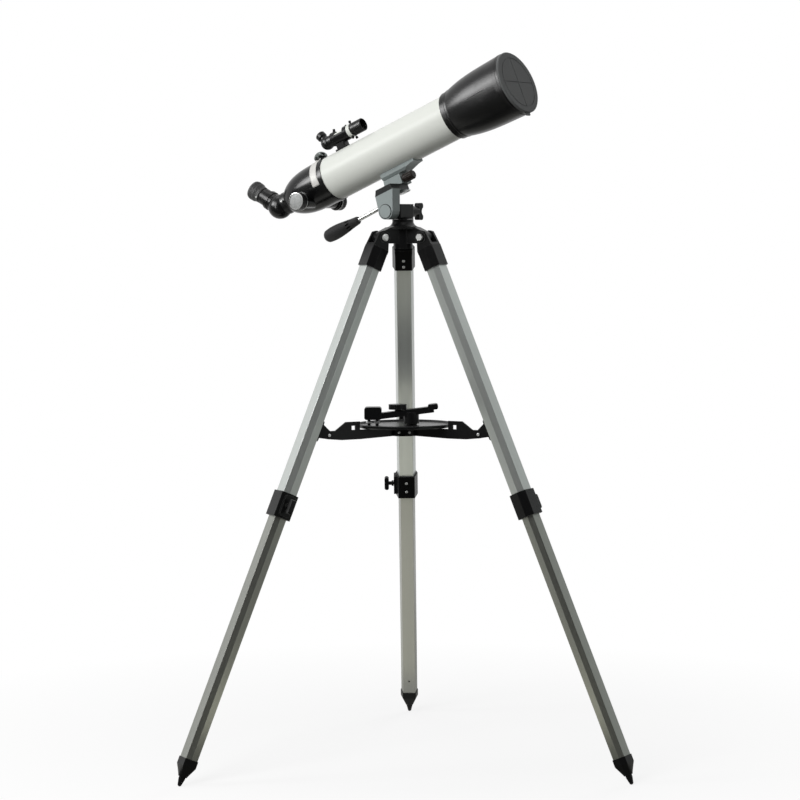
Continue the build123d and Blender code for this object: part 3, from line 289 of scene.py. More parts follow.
def vector_node(tree, operation, first, second):
    node = add_node(tree, "ShaderNodeVectorMath", operation=operation)
    tree.links.new(first, node.inputs[0])
    if isinstance(second, (tuple, list)):
        node.inputs[1].default_value = second
    elif second is not None:
        tree.links.new(second, node.inputs[1])
    return node


def spread(tree, value, low, high, to_low, to_high):
    """A value taken from one range to another, held at the ends."""
    node = add_node(tree, "ShaderNodeMapRange")
    tree.links.new(value, node.inputs["Value"])
    for name, number in zip(("From Min", "From Max", "To Min", "To Max"), (low, high, to_low, to_high)):
        node.inputs[name].default_value = number
    return node.outputs["Result"]


def blend_colour(tree, factor, first, second):
    """A colour between two, by a factor from another node."""
    node = add_node(tree, "ShaderNodeMix", data_type="RGBA")
    tree.links.new(factor, node.inputs["Factor"])
    for socket, colour in zip((node.inputs[6], node.inputs[7]), (first, second)):
        if isinstance(colour, (tuple, list)):
            socket.default_value = (*colour[:3], 1.0)
        else:
            tree.links.new(colour, socket)
    return node.outputs[2]


def object_place(tree):
    """Where a point is on its own object, so that patterns move with it."""
    return add_node(tree, "ShaderNodeTexCoord").outputs["Object"]


def start_group(name, inputs, outputs):
    """An empty shader node group with named sockets."""
    group = bpy.data.node_groups.new(name, "ShaderNodeTree")
    for label, kind, default in inputs:
        socket = group.interface.new_socket(label, in_out="INPUT", socket_type=kind)
        socket.default_value = default
    for label in outputs:
        group.interface.new_socket(label, in_out="OUTPUT", socket_type="NodeSocketFloat")
    entry = group.nodes.new("NodeGroupInput")
    leave = group.nodes.new("NodeGroupOutput")
    return group, entry, leave


def noise(tree, vector, scale, detail=2.0, roughness=0.5):
    node = add_node(tree, "ShaderNodeTexNoise", Detail=detail, Roughness=roughness)
    tree.links.new(vector, node.inputs["Vector"])
    if isinstance(scale, (int, float)):
        node.inputs["Scale"].default_value = scale
    else:
        tree.links.new(scale, node.inputs["Scale"])
    return node.outputs["Fac"]


# Shared effects
STREAK_SQUEEZE = 0.985


def moulded_grain_group():
    """Fine spark-eroded grain of mouldings, with slow changes of tone."""
    group, entry, leave = start_group(
        "moulded grain", [("Grain per metre", "NodeSocketFloat", 2500.0)], ["Height", "Tone"])
    place = object_place(group)
    group.links.new(noise(group, place, entry.outputs[0], 3.0, 0.6), leave.inputs["Height"])
    group.links.new(noise(group, place, 14.0, 3.0), leave.inputs["Tone"])
    return group


def drawn_streaks_group():
    """Long fine lines that drawing or extruding leaves along a bar."""
    group, entry, leave = start_group(
        "drawn streaks",
        [("Along", "NodeSocketVector", (0.0, 0.0, 1.0)), ("Lines per metre", "NodeSocketFloat", 1600.0)],
        ["Height", "Tone"])
    place = object_place(group)
    along = entry.outputs["Along"]
    reach = vector_node(group, "DOT_PRODUCT", place, along).outputs["Value"]
    shift = vector_node(group, "SCALE", along, None)
    group.links.new(math_node(group, "MULTIPLY", reach, STREAK_SQUEEZE), shift.inputs["Scale"])
    squeezed = vector_node(group, "SUBTRACT", place, shift.outputs[0]).outputs[0]
    lines = noise(group, squeezed, entry.outputs["Lines per metre"], 3.0, 0.55)
    tone = noise(group, squeezed, 90.0, 2.0)
    group.links.new(lines, leave.inputs["Height"])
    group.links.new(tone, leave.inputs["Tone"])
    return group


def wear_and_sheen_edge_group():
    """A mask along outer edges, broken up at random; the colour it brings is partly wear and partly a
    painted highlight on the edges.
    """
    group, entry, leave = start_group("worn edge", [("Radius", "NodeSocketFloat", 0.0008)], ["Edge"])
    bevel = add_node(group, "ShaderNodeBevel", samples=4)
    group.links.new(entry.outputs["Radius"], bevel.inputs["Radius"])
    normal = add_node(group, "ShaderNodeNewGeometry").outputs["Normal"]
    likeness = vector_node(group, "DOT_PRODUCT", bevel.outputs["Normal"], normal).outputs["Value"]
    edge = spread(group, likeness, 0.98, 0.80, 0.0, 1.0)
    place = object_place(group)
    broken = spread(group, noise(group, place, 160.0, 4.0), 0.35, 0.65, 0.25, 1.0)
    group.links.new(math_node(group, "MULTIPLY", edge, broken), leave.inputs["Edge"])
    return group


def settled_dust_group():
    """A thin veil on faces that look up."""
    group, _, leave = start_group("settled dust", [], ["Dust"])
    normal = add_node(group, "ShaderNodeNewGeometry").outputs["Normal"]
    split = add_node(group, "ShaderNodeSeparateXYZ")
    group.links.new(normal, split.inputs[0])
    up = spread(group, split.outputs["Z"], 0.3, 0.95, 0.0, 1.0)
    place = object_place(group)
    patchy = spread(group, noise(group, place, 60.0, 5.0), 0.4, 0.75, 0.2, 1.0)
    group.links.new(math_node(group, "MULTIPLY", up, patchy), leave.inputs["Dust"])
    return group


def paint_ripple_group():
    """The slight orange peel of sprayed paint, and its pearl flake."""
    group, entry, leave = start_group(
        "paint ripple", [("Ripples per metre", "NodeSocketFloat", 420.0)], ["Height", "Flake"])
    place = object_place(group)
    group.links.new(noise(group, place, entry.outputs[0], 1.0), leave.inputs["Height"])
    cells = add_node(group, "ShaderNodeTexVoronoi", Scale=3200.0)
    group.links.new(place, cells.inputs["Vector"])
    split = add_node(group, "ShaderNodeSeparateColor")
    group.links.new(cells.outputs["Color"], split.inputs[0])
    group.links.new(split.outputs[0], leave.inputs["Flake"])
    return group


class Finish:
    """One material in the making: its tree, its shader and the shared effects placed in it."""

    groups = {}

    def __init__(self, name, **constants):
        self.material = bpy.data.materials.new(name)
        self.material.use_nodes = True
        self.tree = self.material.node_tree
        self.shader = self.tree.nodes["Principled BSDF"]
        for label, value in constants.items():
            self.shader.inputs[label.replace("_", " ")].default_value = value

    def effect(self, maker, **values):
        """Places a shared effect, built the first time it is asked for."""
        if maker not in Finish.groups:
            Finish.groups[maker] = maker()
        node = self.tree.nodes.new("ShaderNodeGroup")
        node.node_tree = Finish.groups[maker]
        for label, value in values.items():
            node.inputs[label.replace("_", " ")].default_value = value
        return node.outputs

    def drive(self, label, value):
        self.tree.links.new(value, self.shader.inputs[label])

    def colour(self, factor, first, second):
        self.drive("Base Color", blend_colour(self.tree, factor, first, second))

    def layer(self, factor, first, second):
        return blend_colour(self.tree, factor, first, second)

    def faint(self, mask, amount):
        return math_node(self.tree, "MULTIPLY", mask, amount)

    def roughness(self, value, low, high):
        """Roughness between two numbers, over the span where most values of a noise lie."""
        self.drive("Roughness", spread(self.tree, value, 0.3, 0.7, low, high))

    def bump(self, height, depth):
        """Relief of a depth in millimetres."""
        node = add_node(self.tree, "ShaderNodeBump", Strength=1.0, Distance=depth * MM)
        self.tree.links.new(height, node.inputs["Height"])
        self.drive("Normal", node.outputs["Normal"])


def lighter(colour, amount):
    return tuple(value + (1.0 - value) * amount for value in colour)


def darker(colour, amount):
    return tuple(value * (1.0 - amount) for value in colour)


# Finishes; first the colours that edges take, partly wear and partly a painted highlight, and the dust
# that settles on them
WEAR_AND_SHEEN_PLASTIC = (0.32, 0.32, 0.32)
WEAR_AND_SHEEN_SHEET = (0.30, 0.30, 0.30)
WEAR_AND_SHEEN_CASTING = (0.62, 0.63, 0.62)
PLASTIC_DUST = (0.4, 0.39, 0.37)
ENAMEL_DUST = (0.62, 0.60, 0.55)
RUBBER_DUST = (0.35, 0.34, 0.33)


def moulded(name, colour, rough, grain, edge=0.16):
    """Moulded plastic: grain of a depth in millimetres, slow tone, edges lightened by an amount, partly
    as wear and partly as a painted highlight, and a trace of dust.
    """
    finish = Finish(name, Specular_IOR_Level=0.22)
    relief = finish.effect(moulded_grain_group)
    wear_and_sheen = finish.effect(wear_and_sheen_edge_group)["Edge"]
    dust = finish.effect(settled_dust_group)["Dust"]
    base = finish.layer(relief["Tone"], darker(colour, 0.15), lighter(colour, 0.004))
    # Edges lighten towards grey: partly wear, partly a painted highlight
    rubbed_and_sheen = finish.layer(finish.faint(wear_and_sheen, edge), base, WEAR_AND_SHEEN_PLASTIC)
    finish.colour(finish.faint(dust, 0.015), rubbed_and_sheen, PLASTIC_DUST)
    finish.roughness(relief["Height"], rough - 0.05, rough + 0.07)
    finish.bump(relief["Height"], grain)
    return finish.material


def enamel(name, colour):
    """Sprayed pearl white with a clear coat."""
    finish = Finish(name, Coat_Weight=0.3, Coat_Roughness=0.3, Specular_IOR_Level=0.4)
    ripple = finish.effect(paint_ripple_group)
    dust = finish.effect(settled_dust_group)["Dust"]
    pearl = finish.layer(ripple["Flake"], darker(colour, 0.05), lighter(colour, 0.12))
    finish.colour(finish.faint(dust, 0.05), pearl, ENAMEL_DUST)
    finish.roughness(ripple["Flake"], 0.42, 0.52)
    finish.bump(ripple["Height"], 0.02)
    return finish.material


def anodised(name, colour, along, metal):
    """Satin anodised extrusion with drawing lines along it, and edges lightened partly as wear and partly
    as a painted highlight.
    """
    finish = Finish(name, Metallic=metal, Specular_IOR_Level=0.5)
    streaks = finish.effect(drawn_streaks_group, Along=tuple(along))
    wear_and_sheen = finish.effect(wear_and_sheen_edge_group, Radius=0.0006)["Edge"]
    tone = finish.layer(streaks["Tone"], darker(colour, 0.10), lighter(colour, 0.06))
    # Edges lighten: partly wear, partly a painted highlight
    finish.colour(finish.faint(wear_and_sheen, 0.5), tone, lighter(colour, 0.5))
    finish.roughness(streaks["Height"], 0.34, 0.44)
    finish.bump(streaks["Height"], 0.006)
    return finish.material


def bright_metal(name, colour, rough, along=(0.0, 0.0, 1.0), metal=1.0):
    """Chrome or zinc plate, with faint polishing lines."""
    finish = Finish(name, Metallic=metal)
    streaks = finish.effect(drawn_streaks_group, Along=tuple(along), Lines_per_metre=4000.0)
    finish.colour(streaks["Tone"], darker(colour, 0.18), lighter(colour, 0.15))
    finish.roughness(streaks["Height"], rough, rough + 0.12)
    finish.bump(streaks["Height"], 0.003)
    return finish.material


def cast_paint(name, colour, dark_top=None):
    """Grey paint over a slightly rough casting; above a given level along a direction it takes a second
    colour.
    """
    finish = Finish(name, Specular_IOR_Level=0.4, Metallic=0.1)
    relief = finish.effect(moulded_grain_group, Grain_per_metre=1500.0)
    wear_and_sheen = finish.effect(wear_and_sheen_edge_group)["Edge"]
    base = finish.layer(relief["Tone"], darker(colour, 0.12), lighter(colour, 0.08))
    if dark_top:
        up, level, dark_top_colour = dark_top
        place = object_place(finish.tree)
        height = vector_node(finish.tree, "DOT_PRODUCT", place, tuple(up)).outputs["Value"]
        above = spread(finish.tree, height, level, level + 0.4 * MM, 0.0, 1.0)
        base = finish.layer(above, base, dark_top_colour)
    # Edges lighten: partly wear, partly a painted highlight
    finish.colour(finish.faint(wear_and_sheen, 0.35), base, WEAR_AND_SHEEN_CASTING)
    finish.roughness(relief["Height"], 0.38, 0.52)
    finish.bump(relief["Height"], 0.03)
    return finish.material


def sheet_paint(name, colour):
    """Half-gloss black paint on pressed steel."""
    finish = Finish(name, Specular_IOR_Level=0.25, Coat_Weight=0.08, Coat_Roughness=0.2)
    ripple = finish.effect(paint_ripple_group, Ripples_per_metre=700.0)
    wear_and_sheen = finish.effect(wear_and_sheen_edge_group)["Edge"]
    base = finish.layer(ripple["Height"], darker(colour, 0.2), lighter(colour, 0.004))
    # Edges lighten: partly wear, partly a painted highlight
    finish.colour(finish.faint(wear_and_sheen, 0.25), base, WEAR_AND_SHEEN_SHEET)
    finish.roughness(ripple["Height"], 0.28, 0.40)
    finish.bump(ripple["Height"], 0.03)
    return finish.material


def rubber(name, colour):
    """Soft black rubber with a matt skin."""
    finish = Finish(name, Specular_IOR_Level=0.35, Sheen_Weight=0.15, Sheen_Roughness=0.5)
    relief = finish.effect(moulded_grain_group, Grain_per_metre=1800.0)
    dust = finish.effect(settled_dust_group)["Dust"]
    base = finish.layer(relief["Tone"], darker(colour, 0.2), lighter(colour, 0.02))
    finish.colour(finish.faint(dust, 0.05), base, RUBBER_DUST)
    finish.roughness(relief["Height"], 0.55, 0.75)
    finish.bump(relief["Height"], 0.05)
    return finish.material


def coated_glass(name):
    """Lens glass with a faint coating."""
    finish = Finish(name, Transmission_Weight=1.0, IOR=1.52, Coat_Weight=0.4)
    relief = finish.effect(moulded_grain_group, Grain_per_metre=30.0)
    finish.colour(relief["Tone"], (0.86, 0.94, 0.90), (0.93, 0.97, 0.96))
    finish.roughness(relief["Tone"], 0.01, 0.03)
    return finish.material


def dimpled_metal(name, colour):
    """Silver disc rolled with a fine grain."""
    finish = Finish(name, Metallic=0.25)
    cells = add_node(finish.tree, "ShaderNodeTexVoronoi", Scale=650.0)
    finish.tree.links.new(object_place(finish.tree), cells.inputs["Vector"])
    dot = spread(finish.tree, cells.outputs["Distance"], 0.1, 0.6, 0.0, 1.0)
    finish.colour(dot, darker(colour, 0.55), colour)
    finish.roughness(dot, 0.62, 0.50)
    finish.bump(dot, 0.12)
    return finish.material


# Which finish each solid takes
def node_finishes():
    colours = bpy.context.scene.telescope_finishes
    black = tuple(colours.plastic)
    grey = tuple(colours.casting)
    bright = tuple(colours.bright)
    forward = joint_axis("dust_cap_pull")
    up = joint_axis("platform_screw_turn")
    # The tilt arm takes a nearly black colour above this level
    dark_top = (up, up.dot(scope_frame() @ Vector((0, PLATFORM_BOTTOM, 0))), darker(grey, 0.96))
    finishes = {
        "moulded": moulded("moulded black", black, 0.33, 0.015),
        "fine": moulded("fine moulded black", black, 0.26, 0.010),
        "shield": moulded("satin black shield", black, 0.27, 0.008),
        "gloss": moulded("gloss black casting", black, 0.18, 0.004),
        # Bracket, rib and knob edges get more of the edge lightening: partly wear, partly a painted
        # highlight
        "bracket": moulded("black bracket", black, 0.30, 0.012, 0.42),
        # The rib is lightened as a painted highlight, so that its thin line shows
        "rib": moulded("rubbed black rib", lighter(black, 0.16), 0.30, 0.008, 0.6),
        "knob": moulded("brown black knob", (0.016, 0.012, 0.010), 0.38, 0.02, 0.3),
        "cap": moulded("dark grey cap", tuple(colours.cap), 0.45, 0.03),
        "casting": cast_paint("grey cast paint", grey),
        "arm": cast_paint("grey arm with black pad", grey, dark_top),
        "sheet": sheet_paint("black sheet paint", black),
        "enamel": enamel("pearl white enamel", tuple(colours.enamel)),
        "rubber": rubber("black rubber", lighter(black, 0.006)),
        "chrome": bright_metal("chrome", lighter(bright, 0.2), 0.16, forward, 0.9),
        "dark_chrome": bright_metal("dark chrome", (0.10, 0.12, 0.11), 0.10, forward),
        "zinc": bright_metal("zinc plate", bright, 0.28, metal=0.6),
        "dimpled": dimpled_metal("dimpled silver", (0.42, 0.43, 0.425)),
        "plate": bright_metal("brushed plate", (0.70, 0.69, 0.66), 0.38, forward, 0.15),
        "glass": coated_glass("coated glass"),
    }
    for number in LEGS:
        along = joint_axis(f"leg_{number}_extend")
        for name, colour in (("upper", colours.aluminium), ("lower", colours.lower_leg_painted_shade)):
            # Each leg's copy of the finish is lightened here as painted light, where that leg should look
            # more lit
            painted_lit_colour = lighter(tuple(colour), LEG_PAINTED_LIGHT[name][number - 1])
            finishes[f"{name}_leg_{number}"] = anodised(
                f"anodised {name} leg {number}", painted_lit_colour, along, LEG_METAL[name][number - 1])
    return finishes


NODE_FINISH = {
    "moulded": ("spreader_hub", "phone_adapter", "pan_base", "tilt_lock_knob", "lens_cell",
                "finder_bracket", "focus_knobs"),
    "bracket": ("tripod_hub",),
    "knob": ("clamp_knob",),
    "fine": ("eyepiece_barrel", "finder_hood", "finder_elbow", "finder_eyepiece", "drawtube"),
    "shield": ("dew_shield",),
    "gloss": ("rear_cell", "diagonal_housing"),
    "cap": ("dust_cap",),
    "casting": ("clamp_base", "tube_saddle"),
    "arm": ("tilt_arm",),
    "sheet": ("tray_plate",),
    "enamel": ("main_tube", "finder_tube"),
    "rubber": ("eyecup", "handle_grip"),
    "chrome": ("handle_rod",),
    "dark_chrome": ("focus_lock_knob",),
    "zinc": ("hinge_bolts", "spreader_pins", "platform_screw", "focus_shaft"),
    "glass": ("objective_lens", "diagonal_prism", "eyepiece_lenses", "finder_lens"),
}
LEG_NODE_FINISH = {
    "bracket": ("leg_bracket", "leg_collar", "collar_thumbscrew"),
    "moulded": ("spreader_lug", "foot"),
    "sheet": ("spreader_arm",),
}
SHEEN_NODES = ("dew_shield", "rear_cell", "diagonal_housing", "eyepiece_barrel", "eyecup", "drawtube",
               "finder_hood", "finder_elbow", "finder_eyepiece", "focus_knobs")
FINISHES = {}


# Mesh helpers; local sizes in millimetres
def turned_shape(profile, segments):
    """A lathe shape about Z from (radius, height) points."""
    shape = bmesh.new()
    points = [shape.verts.new((radius, 0.0, height)) for radius, height in profile]
    edges = [shape.edges.new(pair) for pair in zip(points, points[1:])]
    bmesh.ops.spin(shape, geom=points + edges, cent=(0, 0, 0), axis=(0, 0, 1),
                   angle=2 * math.pi, steps=segments, use_merge=True)
    bmesh.ops.remove_doubles(shape, verts=shape.verts[:], dist=1e-4)
    bmesh.ops.recalc_face_normals(shape, faces=shape.faces[:])
    return shape


def dome_profile(radius, height, steps=6):
    """A low dome on a short wall, from its foot to its top."""
    wall = height * 0.3
    profile = [(radius, 0.0), (radius, wall)]
    for step in range(1, steps + 1):
        angle = math.pi / 2 * step / steps
        profile.append((radius * math.cos(angle), wall + (height - wall) * math.sin(angle)))
    profile[-1] = (0.0, height)
    return profile


def ridge(shape, count, depth, low, high):
    """Ridges along Z on the outer wall of a lathe shape, between two heights."""
    for vertex in shape.verts:
        radius = vertex.co.xy.length
        if low <= vertex.co.z <= high and radius > 1.0:
            angle = math.atan2(vertex.co.y, vertex.co.x)
            vertex.co.xy *= 1.0 - depth / radius * (0.5 - 0.5 * math.cos(count * angle))


def join(shape, other, place):
    """Adds a copy of another shape, moved, and frees it."""
    mesh = bpy.data.meshes.new("part")
    other.to_mesh(mesh)
    other.free()
    mesh.transform(place)
    shape.from_mesh(mesh)
    bpy.data.meshes.remove(mesh)


def radial(degrees):
    """The direction at an angle round Z, from X."""
    return Vector((math.cos(math.radians(degrees)), math.sin(math.radians(degrees)), 0))


def facing(point, direction):
    """A placing that stands a lathe shape at a point, its Z along a direction."""
    return Matrix.Translation(point) @ Vector(direction).to_track_quat("Z", "Y").to_matrix().to_4x4()


def make_piece(name, shape, place, finish, body):
    """A finished piece that rides a body."""
    mesh = bpy.data.meshes.new(name)
    shape.to_mesh(mesh)
    shape.free()
    if not mesh.polygons:
        raise RuntimeError(f"{name} came out empty")
    mesh.transform(place)
    mesh.shade_smooth()
    mesh.set_sharp_from_angle(angle=SHARP_ANGLE)
    mesh.materials.append(FINISHES[finish])
    piece = bpy.data.objects.new(name, mesh)
    bpy.context.scene.collection.objects.link(piece)
    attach(piece, body)
    return piece


def cast_on(node, start, direction):
    """Where a ray meets a solid, in metres, or an error if it misses."""
    hit, place, normal, _ = frame["nodes"][node].ray_cast(start, direction)
    if not hit:
        raise RuntimeError(f"no surface of {node} there")
    return place, normal


# Operators
class TELESCOPE_OT_finishes(bpy.types.Operator):
    """Give every solid of the telescope its finish"""

    bl_idname = "telescope.finishes"
    bl_label = "Finishes"

    def execute(self, context):
        FINISHES.update(node_finishes())
        for finish, names in NODE_FINISH.items():
            for name in names:
                self.dress(name, finish)
        for number in LEGS:
            for finish, names in LEG_NODE_FINISH.items():
                for name in names:
                    self.dress(f"{name}_{number}", finish)
            for name in ("upper_leg", "lower_leg"):
                self.dress(f"{name}_{number}", f"{name}_{number}")
        return {"FINISHED"}

    def dress(self, name, finish):
        mesh = frame["nodes"][name].data
        mesh.materials.clear()
        mesh.materials.append(FINISHES[finish])


class TELESCOPE_OT_leg_rivets(bpy.types.Operator):
    """Rivets on the inner faces of the leg brackets and collars"""

    bl_idname = "telescope.leg_rivets"
    bl_label = "Leg rivets"

    def execute(self, context):
        radius = context.scene.telescope_fittings.rivet_radius
        rows = {
            "bracket_rivets": (BRACKET_FACE, BRACKET_RIVETS),
            "collar_rivets": (COLLAR_FACE, COLLAR_RIVETS),
        }
        for number in LEGS:
            for name, (face, stations) in rows.items():
                shape = bmesh.new()
                for station in stations:
                    rivet = turned_shape(dome_profile(radius, RIVET_HEIGHT), HEAD_SEGMENTS)
                    join(shape, rivet, facing((face, 0.0, station), (-1, 0, 0)))
                make_piece(f"{name}_{number}", shape, leg_frame(number), "zinc", f"leg_{number}")
        return {"FINISHED"}


class TELESCOPE_OT_spreader_rivets(bpy.types.Operator):
    """Rivet heads on the spreader's lugs, screws on its hub and nuts under the phone adapter"""

    bl_idname = "telescope.spreader_rivets"
    bl_label = "Spreader rivets"

    def execute(self, context):
        for number in LEGS:
            side = joint_axis(f"leg_{number}_fold")
            out = side.cross(Vector((0, 0, 1)))
            pivot = upright_frame(TRAY_CENTRE_HEIGHT).translation + out * LUG_REACH
            local = leg_frame(number).inverted() @ pivot
            shape = bmesh.new()
            for turn in (1, -1):
                head = turned_shape(dome_profile(*LUG_RIVET_HEAD), HEAD_SEGMENTS)
                join(shape, head, facing(local + Vector((0, turn * LUG_SIDE, 0)), (0, turn, 0)))
            make_piece(f"lug_rivets_{number}", shape, leg_frame(number), "zinc", f"leg_{number}")
        self.hub_screws()
        self.adapter_nuts()
        return {"FINISHED"}

    def hub_screws(self):
        """Two dome screws side by side on the front of the spreader's hub."""
        shape = bmesh.new()
        for turn in HUB_SCREW_TURNS:
            out = radial(turn)
            screw = turned_shape(dome_profile(*HUB_SCREW_HEAD), HEAD_SEGMENTS)
            join(shape, screw, facing(out * HUB_SCREW_SEAT, out))
        make_piece("spreader_screws", shape, upright_frame(TRAY_CENTRE_HEIGHT), "zinc", "tray")

    def adapter_nuts(self):
        """Hexagon nuts on the two bolts that stick out under the phone adapter's jaw."""
        bottom = min(corner[2] for corner in frame["nodes"]["phone_adapter"].bound_box)
        shape = bmesh.new()
        for reach in ADAPTER_BOLTS:
            join(shape, turned_shape(NUT_PROFILE, 6), Matrix.Translation((reach, 0, 0)))
        make_piece("adapter_nuts", shape, upright_frame(bottom), "zinc", "phone_adapter")


class TELESCOPE_OT_knob_faces(bpy.types.Operator):
    """Silver discs, bright rims and thin rings on the focus knobs"""

    bl_idname = "telescope.knob_faces"
    bl_label = "Knob faces"

    def execute(self, context):
        inner = KNOB_RADIUS - 2.2
        disc = [(0.0, 0.0), (inner - 0.3, 0.0), (inner - 0.3, 0.8), (inner - 0.9, 1.1), (0.0, 1.1)]
        rim = [(inner, 0.0), (inner, 1.5), (inner + 0.5, 1.9), (inner + 1.4, 1.7), (inner + 1.4, 0.0)]
        low, high = KNOB_RADIUS - 0.6, KNOB_RADIUS + 0.25
        band = [(low, -0.4), (high, -0.4), (high, 0.4), (low, 0.4), (low, -0.4)]
        pieces = (("knob_discs", disc, KNOB_FACE, "dimpled"), ("knob_rims", rim, KNOB_FACE, "chrome"),
                  ("knob_rings", band, KNOB_BACK, "chrome"))
        for name, profile, height, finish in pieces:
            shape = bmesh.new()
            for turn in (1, -1):
                ring = turned_shape(profile, RING_SEGMENTS)
                join(shape, ring, facing((0, 0, turn * height), (0, 0, turn)))
            make_piece(name, shape, focus_frame(), finish, "focus_drive")
        return {"FINISHED"}


class TELESCOPE_OT_thumbscrews(bpy.types.Operator):
    """Knurled heads of the finder's centring screws and of the small clamp screws"""

    bl_idname = "telescope.thumbscrews"
    bl_label = "Thumbscrews"

    def execute(self, context):
        shape = bmesh.new()
        for station, turns in FINDER_SCREWS.items():
            for turn in turns:
                out = radial(turn)
                centre = Vector((0, FINDER_HEIGHT, station))
                screw = self.head(context, *FINDER_SCREW_HEAD)
                join(shape, screw, facing(centre + out * FINDER_SCREW_SEAT, out))
        make_piece("finder_thumbscrews", shape, scope_frame(), "fine", "telescope")
        self.small_screw(context, "drawtube", NECK_SCREW, "drawtube")
        self.small_screw(context, "eyepiece_barrel", EYEPIECE_SCREW, "eyepiece")
        return {"FINISHED"}

    def small_screw(self, context, node, place, body):
        """A clamp screw that stands on a round solid, beside a point of the telescope's frame."""
        point, outward = (Vector(values) for values in place)
        frame_here = scope_frame()
        inward = (frame_here.to_quaternion() @ -outward).normalized()
        hit, normal = cast_on(node, frame_here @ point - inward * RAY_START * MM, inward)
        screw = self.head(context, *CLAMP_SCREW_HEAD)
        seat = facing(hit, normal) @ Matrix.Scale(MM, 4)
        make_piece(f"{body}_screw", screw, seat, "zinc", body)

    def head(self, context, radius, height):
        knurls = context.scene.telescope_fittings.knurls
        neck = radius * 0.55
        profile = [(0.0, 0.0), (neck, 0.0), (neck, 1.4), (radius - 0.3, 1.4), (radius, 1.7),
                   (radius, height - 0.4), (radius - 0.4, height), (0.0, height)]
        shape = turned_shape(profile, knurls * 3)
        ridge(shape, knurls, 0.4, 1.6, height - 0.3)
        return shape


class TELESCOPE_OT_plate(bpy.types.Operator):
    """Bare curved plate on the rear casting"""

    bl_idname = "telescope.plate"
    bl_label = "Bare plate"

    def execute(self, context):
        width = context.scene.telescope_fittings.label_width
        place = scope_frame()
        turn = place.to_quaternion()
        shape = bmesh.new()
        rows = []
        for row in range(PLATE_ROWS + 1):
            out = radial(PLATE_FROM + (PLATE_TO - PLATE_FROM) * row / PLATE_ROWS)
            line = []
            for column in range(PLATE_COLUMNS + 1):
                station = PLATE_FRONT - width * column / PLATE_COLUMNS
                start = place @ (out * RAY_START + Vector((0, 0, station)))
                hit, normal = cast_on("rear_cell", start, turn @ -out)
                line.append(shape.verts.new(hit + normal * PLATE_LIFT * MM))
            rows.append(line)
        for upper, lower in zip(rows, rows[1:]):
            for n in range(PLATE_COLUMNS):
                shape.faces.new((upper[n], upper[n + 1], lower[n + 1], lower[n]))
        bmesh.ops.recalc_face_normals(shape, faces=shape.faces[:])
        plate = make_piece("bare_plate", shape, Matrix.Identity(4), "plate", "telescope")
        thick = plate.modifiers.new("thickness", "SOLIDIFY")
        thick.thickness = PLATE_THICKNESS * MM
        thick.offset = 0.0
        return {"FINISHED"}


class TELESCOPE_OT_shield_rib(bpy.types.Operator):
    """Raised rib along the near side of the dew shield"""

    bl_idname = "telescope.shield_rib"
    bl_label = "Shield rib"

    def execute(self, context):
        length = context.scene.telescope_fittings.rib_length
        place = scope_frame()
        turn = place.to_quaternion()
        out = radial(RIB_ANGLE)
        side = turn @ radial(RIB_ANGLE + 90)
        shape = bmesh.new()
        rows = []
        for step in range(RIB_STEPS + 1):
            share = step / RIB_STEPS
            start = place @ (out * RAY_START + Vector((0, 0, RIB_REAR + length * share)))
            hit, normal = cast_on("dew_shield", start, turn @ -out)
            height = 0.1 + min(1.0, 6.0 * share, 6.0 * (1.0 - share))
            line = []
            for over in RIB_SECTION:
                across, above = RIB_HALF_WIDTH * radial(over).x, height * radial(over).y
                line.append(shape.verts.new(hit + (side * across + normal * above) * MM))
            rows.append(line)
        for first, second in zip(rows, rows[1:]):
            for n in range(len(first) - 1):
                shape.faces.new((first[n], first[n + 1], second[n + 1], second[n]))
            shape.faces.new((first[-1], first[0], second[0], second[-1]))
        shape.faces.new(rows[0])
        shape.faces.new(rows[-1][::-1])
        bmesh.ops.recalc_face_normals(shape, faces=shape.faces[:])
        make_piece("shield_rib", shape, Matrix.Identity(4), "rib", "telescope")
        return {"FINISHED"}


class TELESCOPE_OT_pivot_ring(bpy.types.Operator):
    """Black washer in the groove round the pivot disc of the tilt arm"""

    bl_idname = "telescope.pivot_ring"
    bl_label = "Pivot ring"

    def execute(self, context):
        across = joint_axis("tilt")
        hit, _ = cast_on("tilt_arm", joint_place("tilt") - across * RAY_START * MM, across)
        inner = PIVOT_DISC_RADIUS + 0.1
        outer = inner + 1.3
        profile = [(inner, -0.2), (inner, 0.5), (inner + 0.4, 0.8), (outer, 0.5), (outer, -0.2),
                   (inner, -0.2)]
        place = facing(hit + across * PIVOT_DISC_HEIGHT * MM, -across) @ Matrix.Scale(MM, 4)
        washer = turned_shape(profile, RING_SEGMENTS)
        make_piece("pivot_ring", washer, place, "moulded", "telescope")
        return {"FINISHED"}


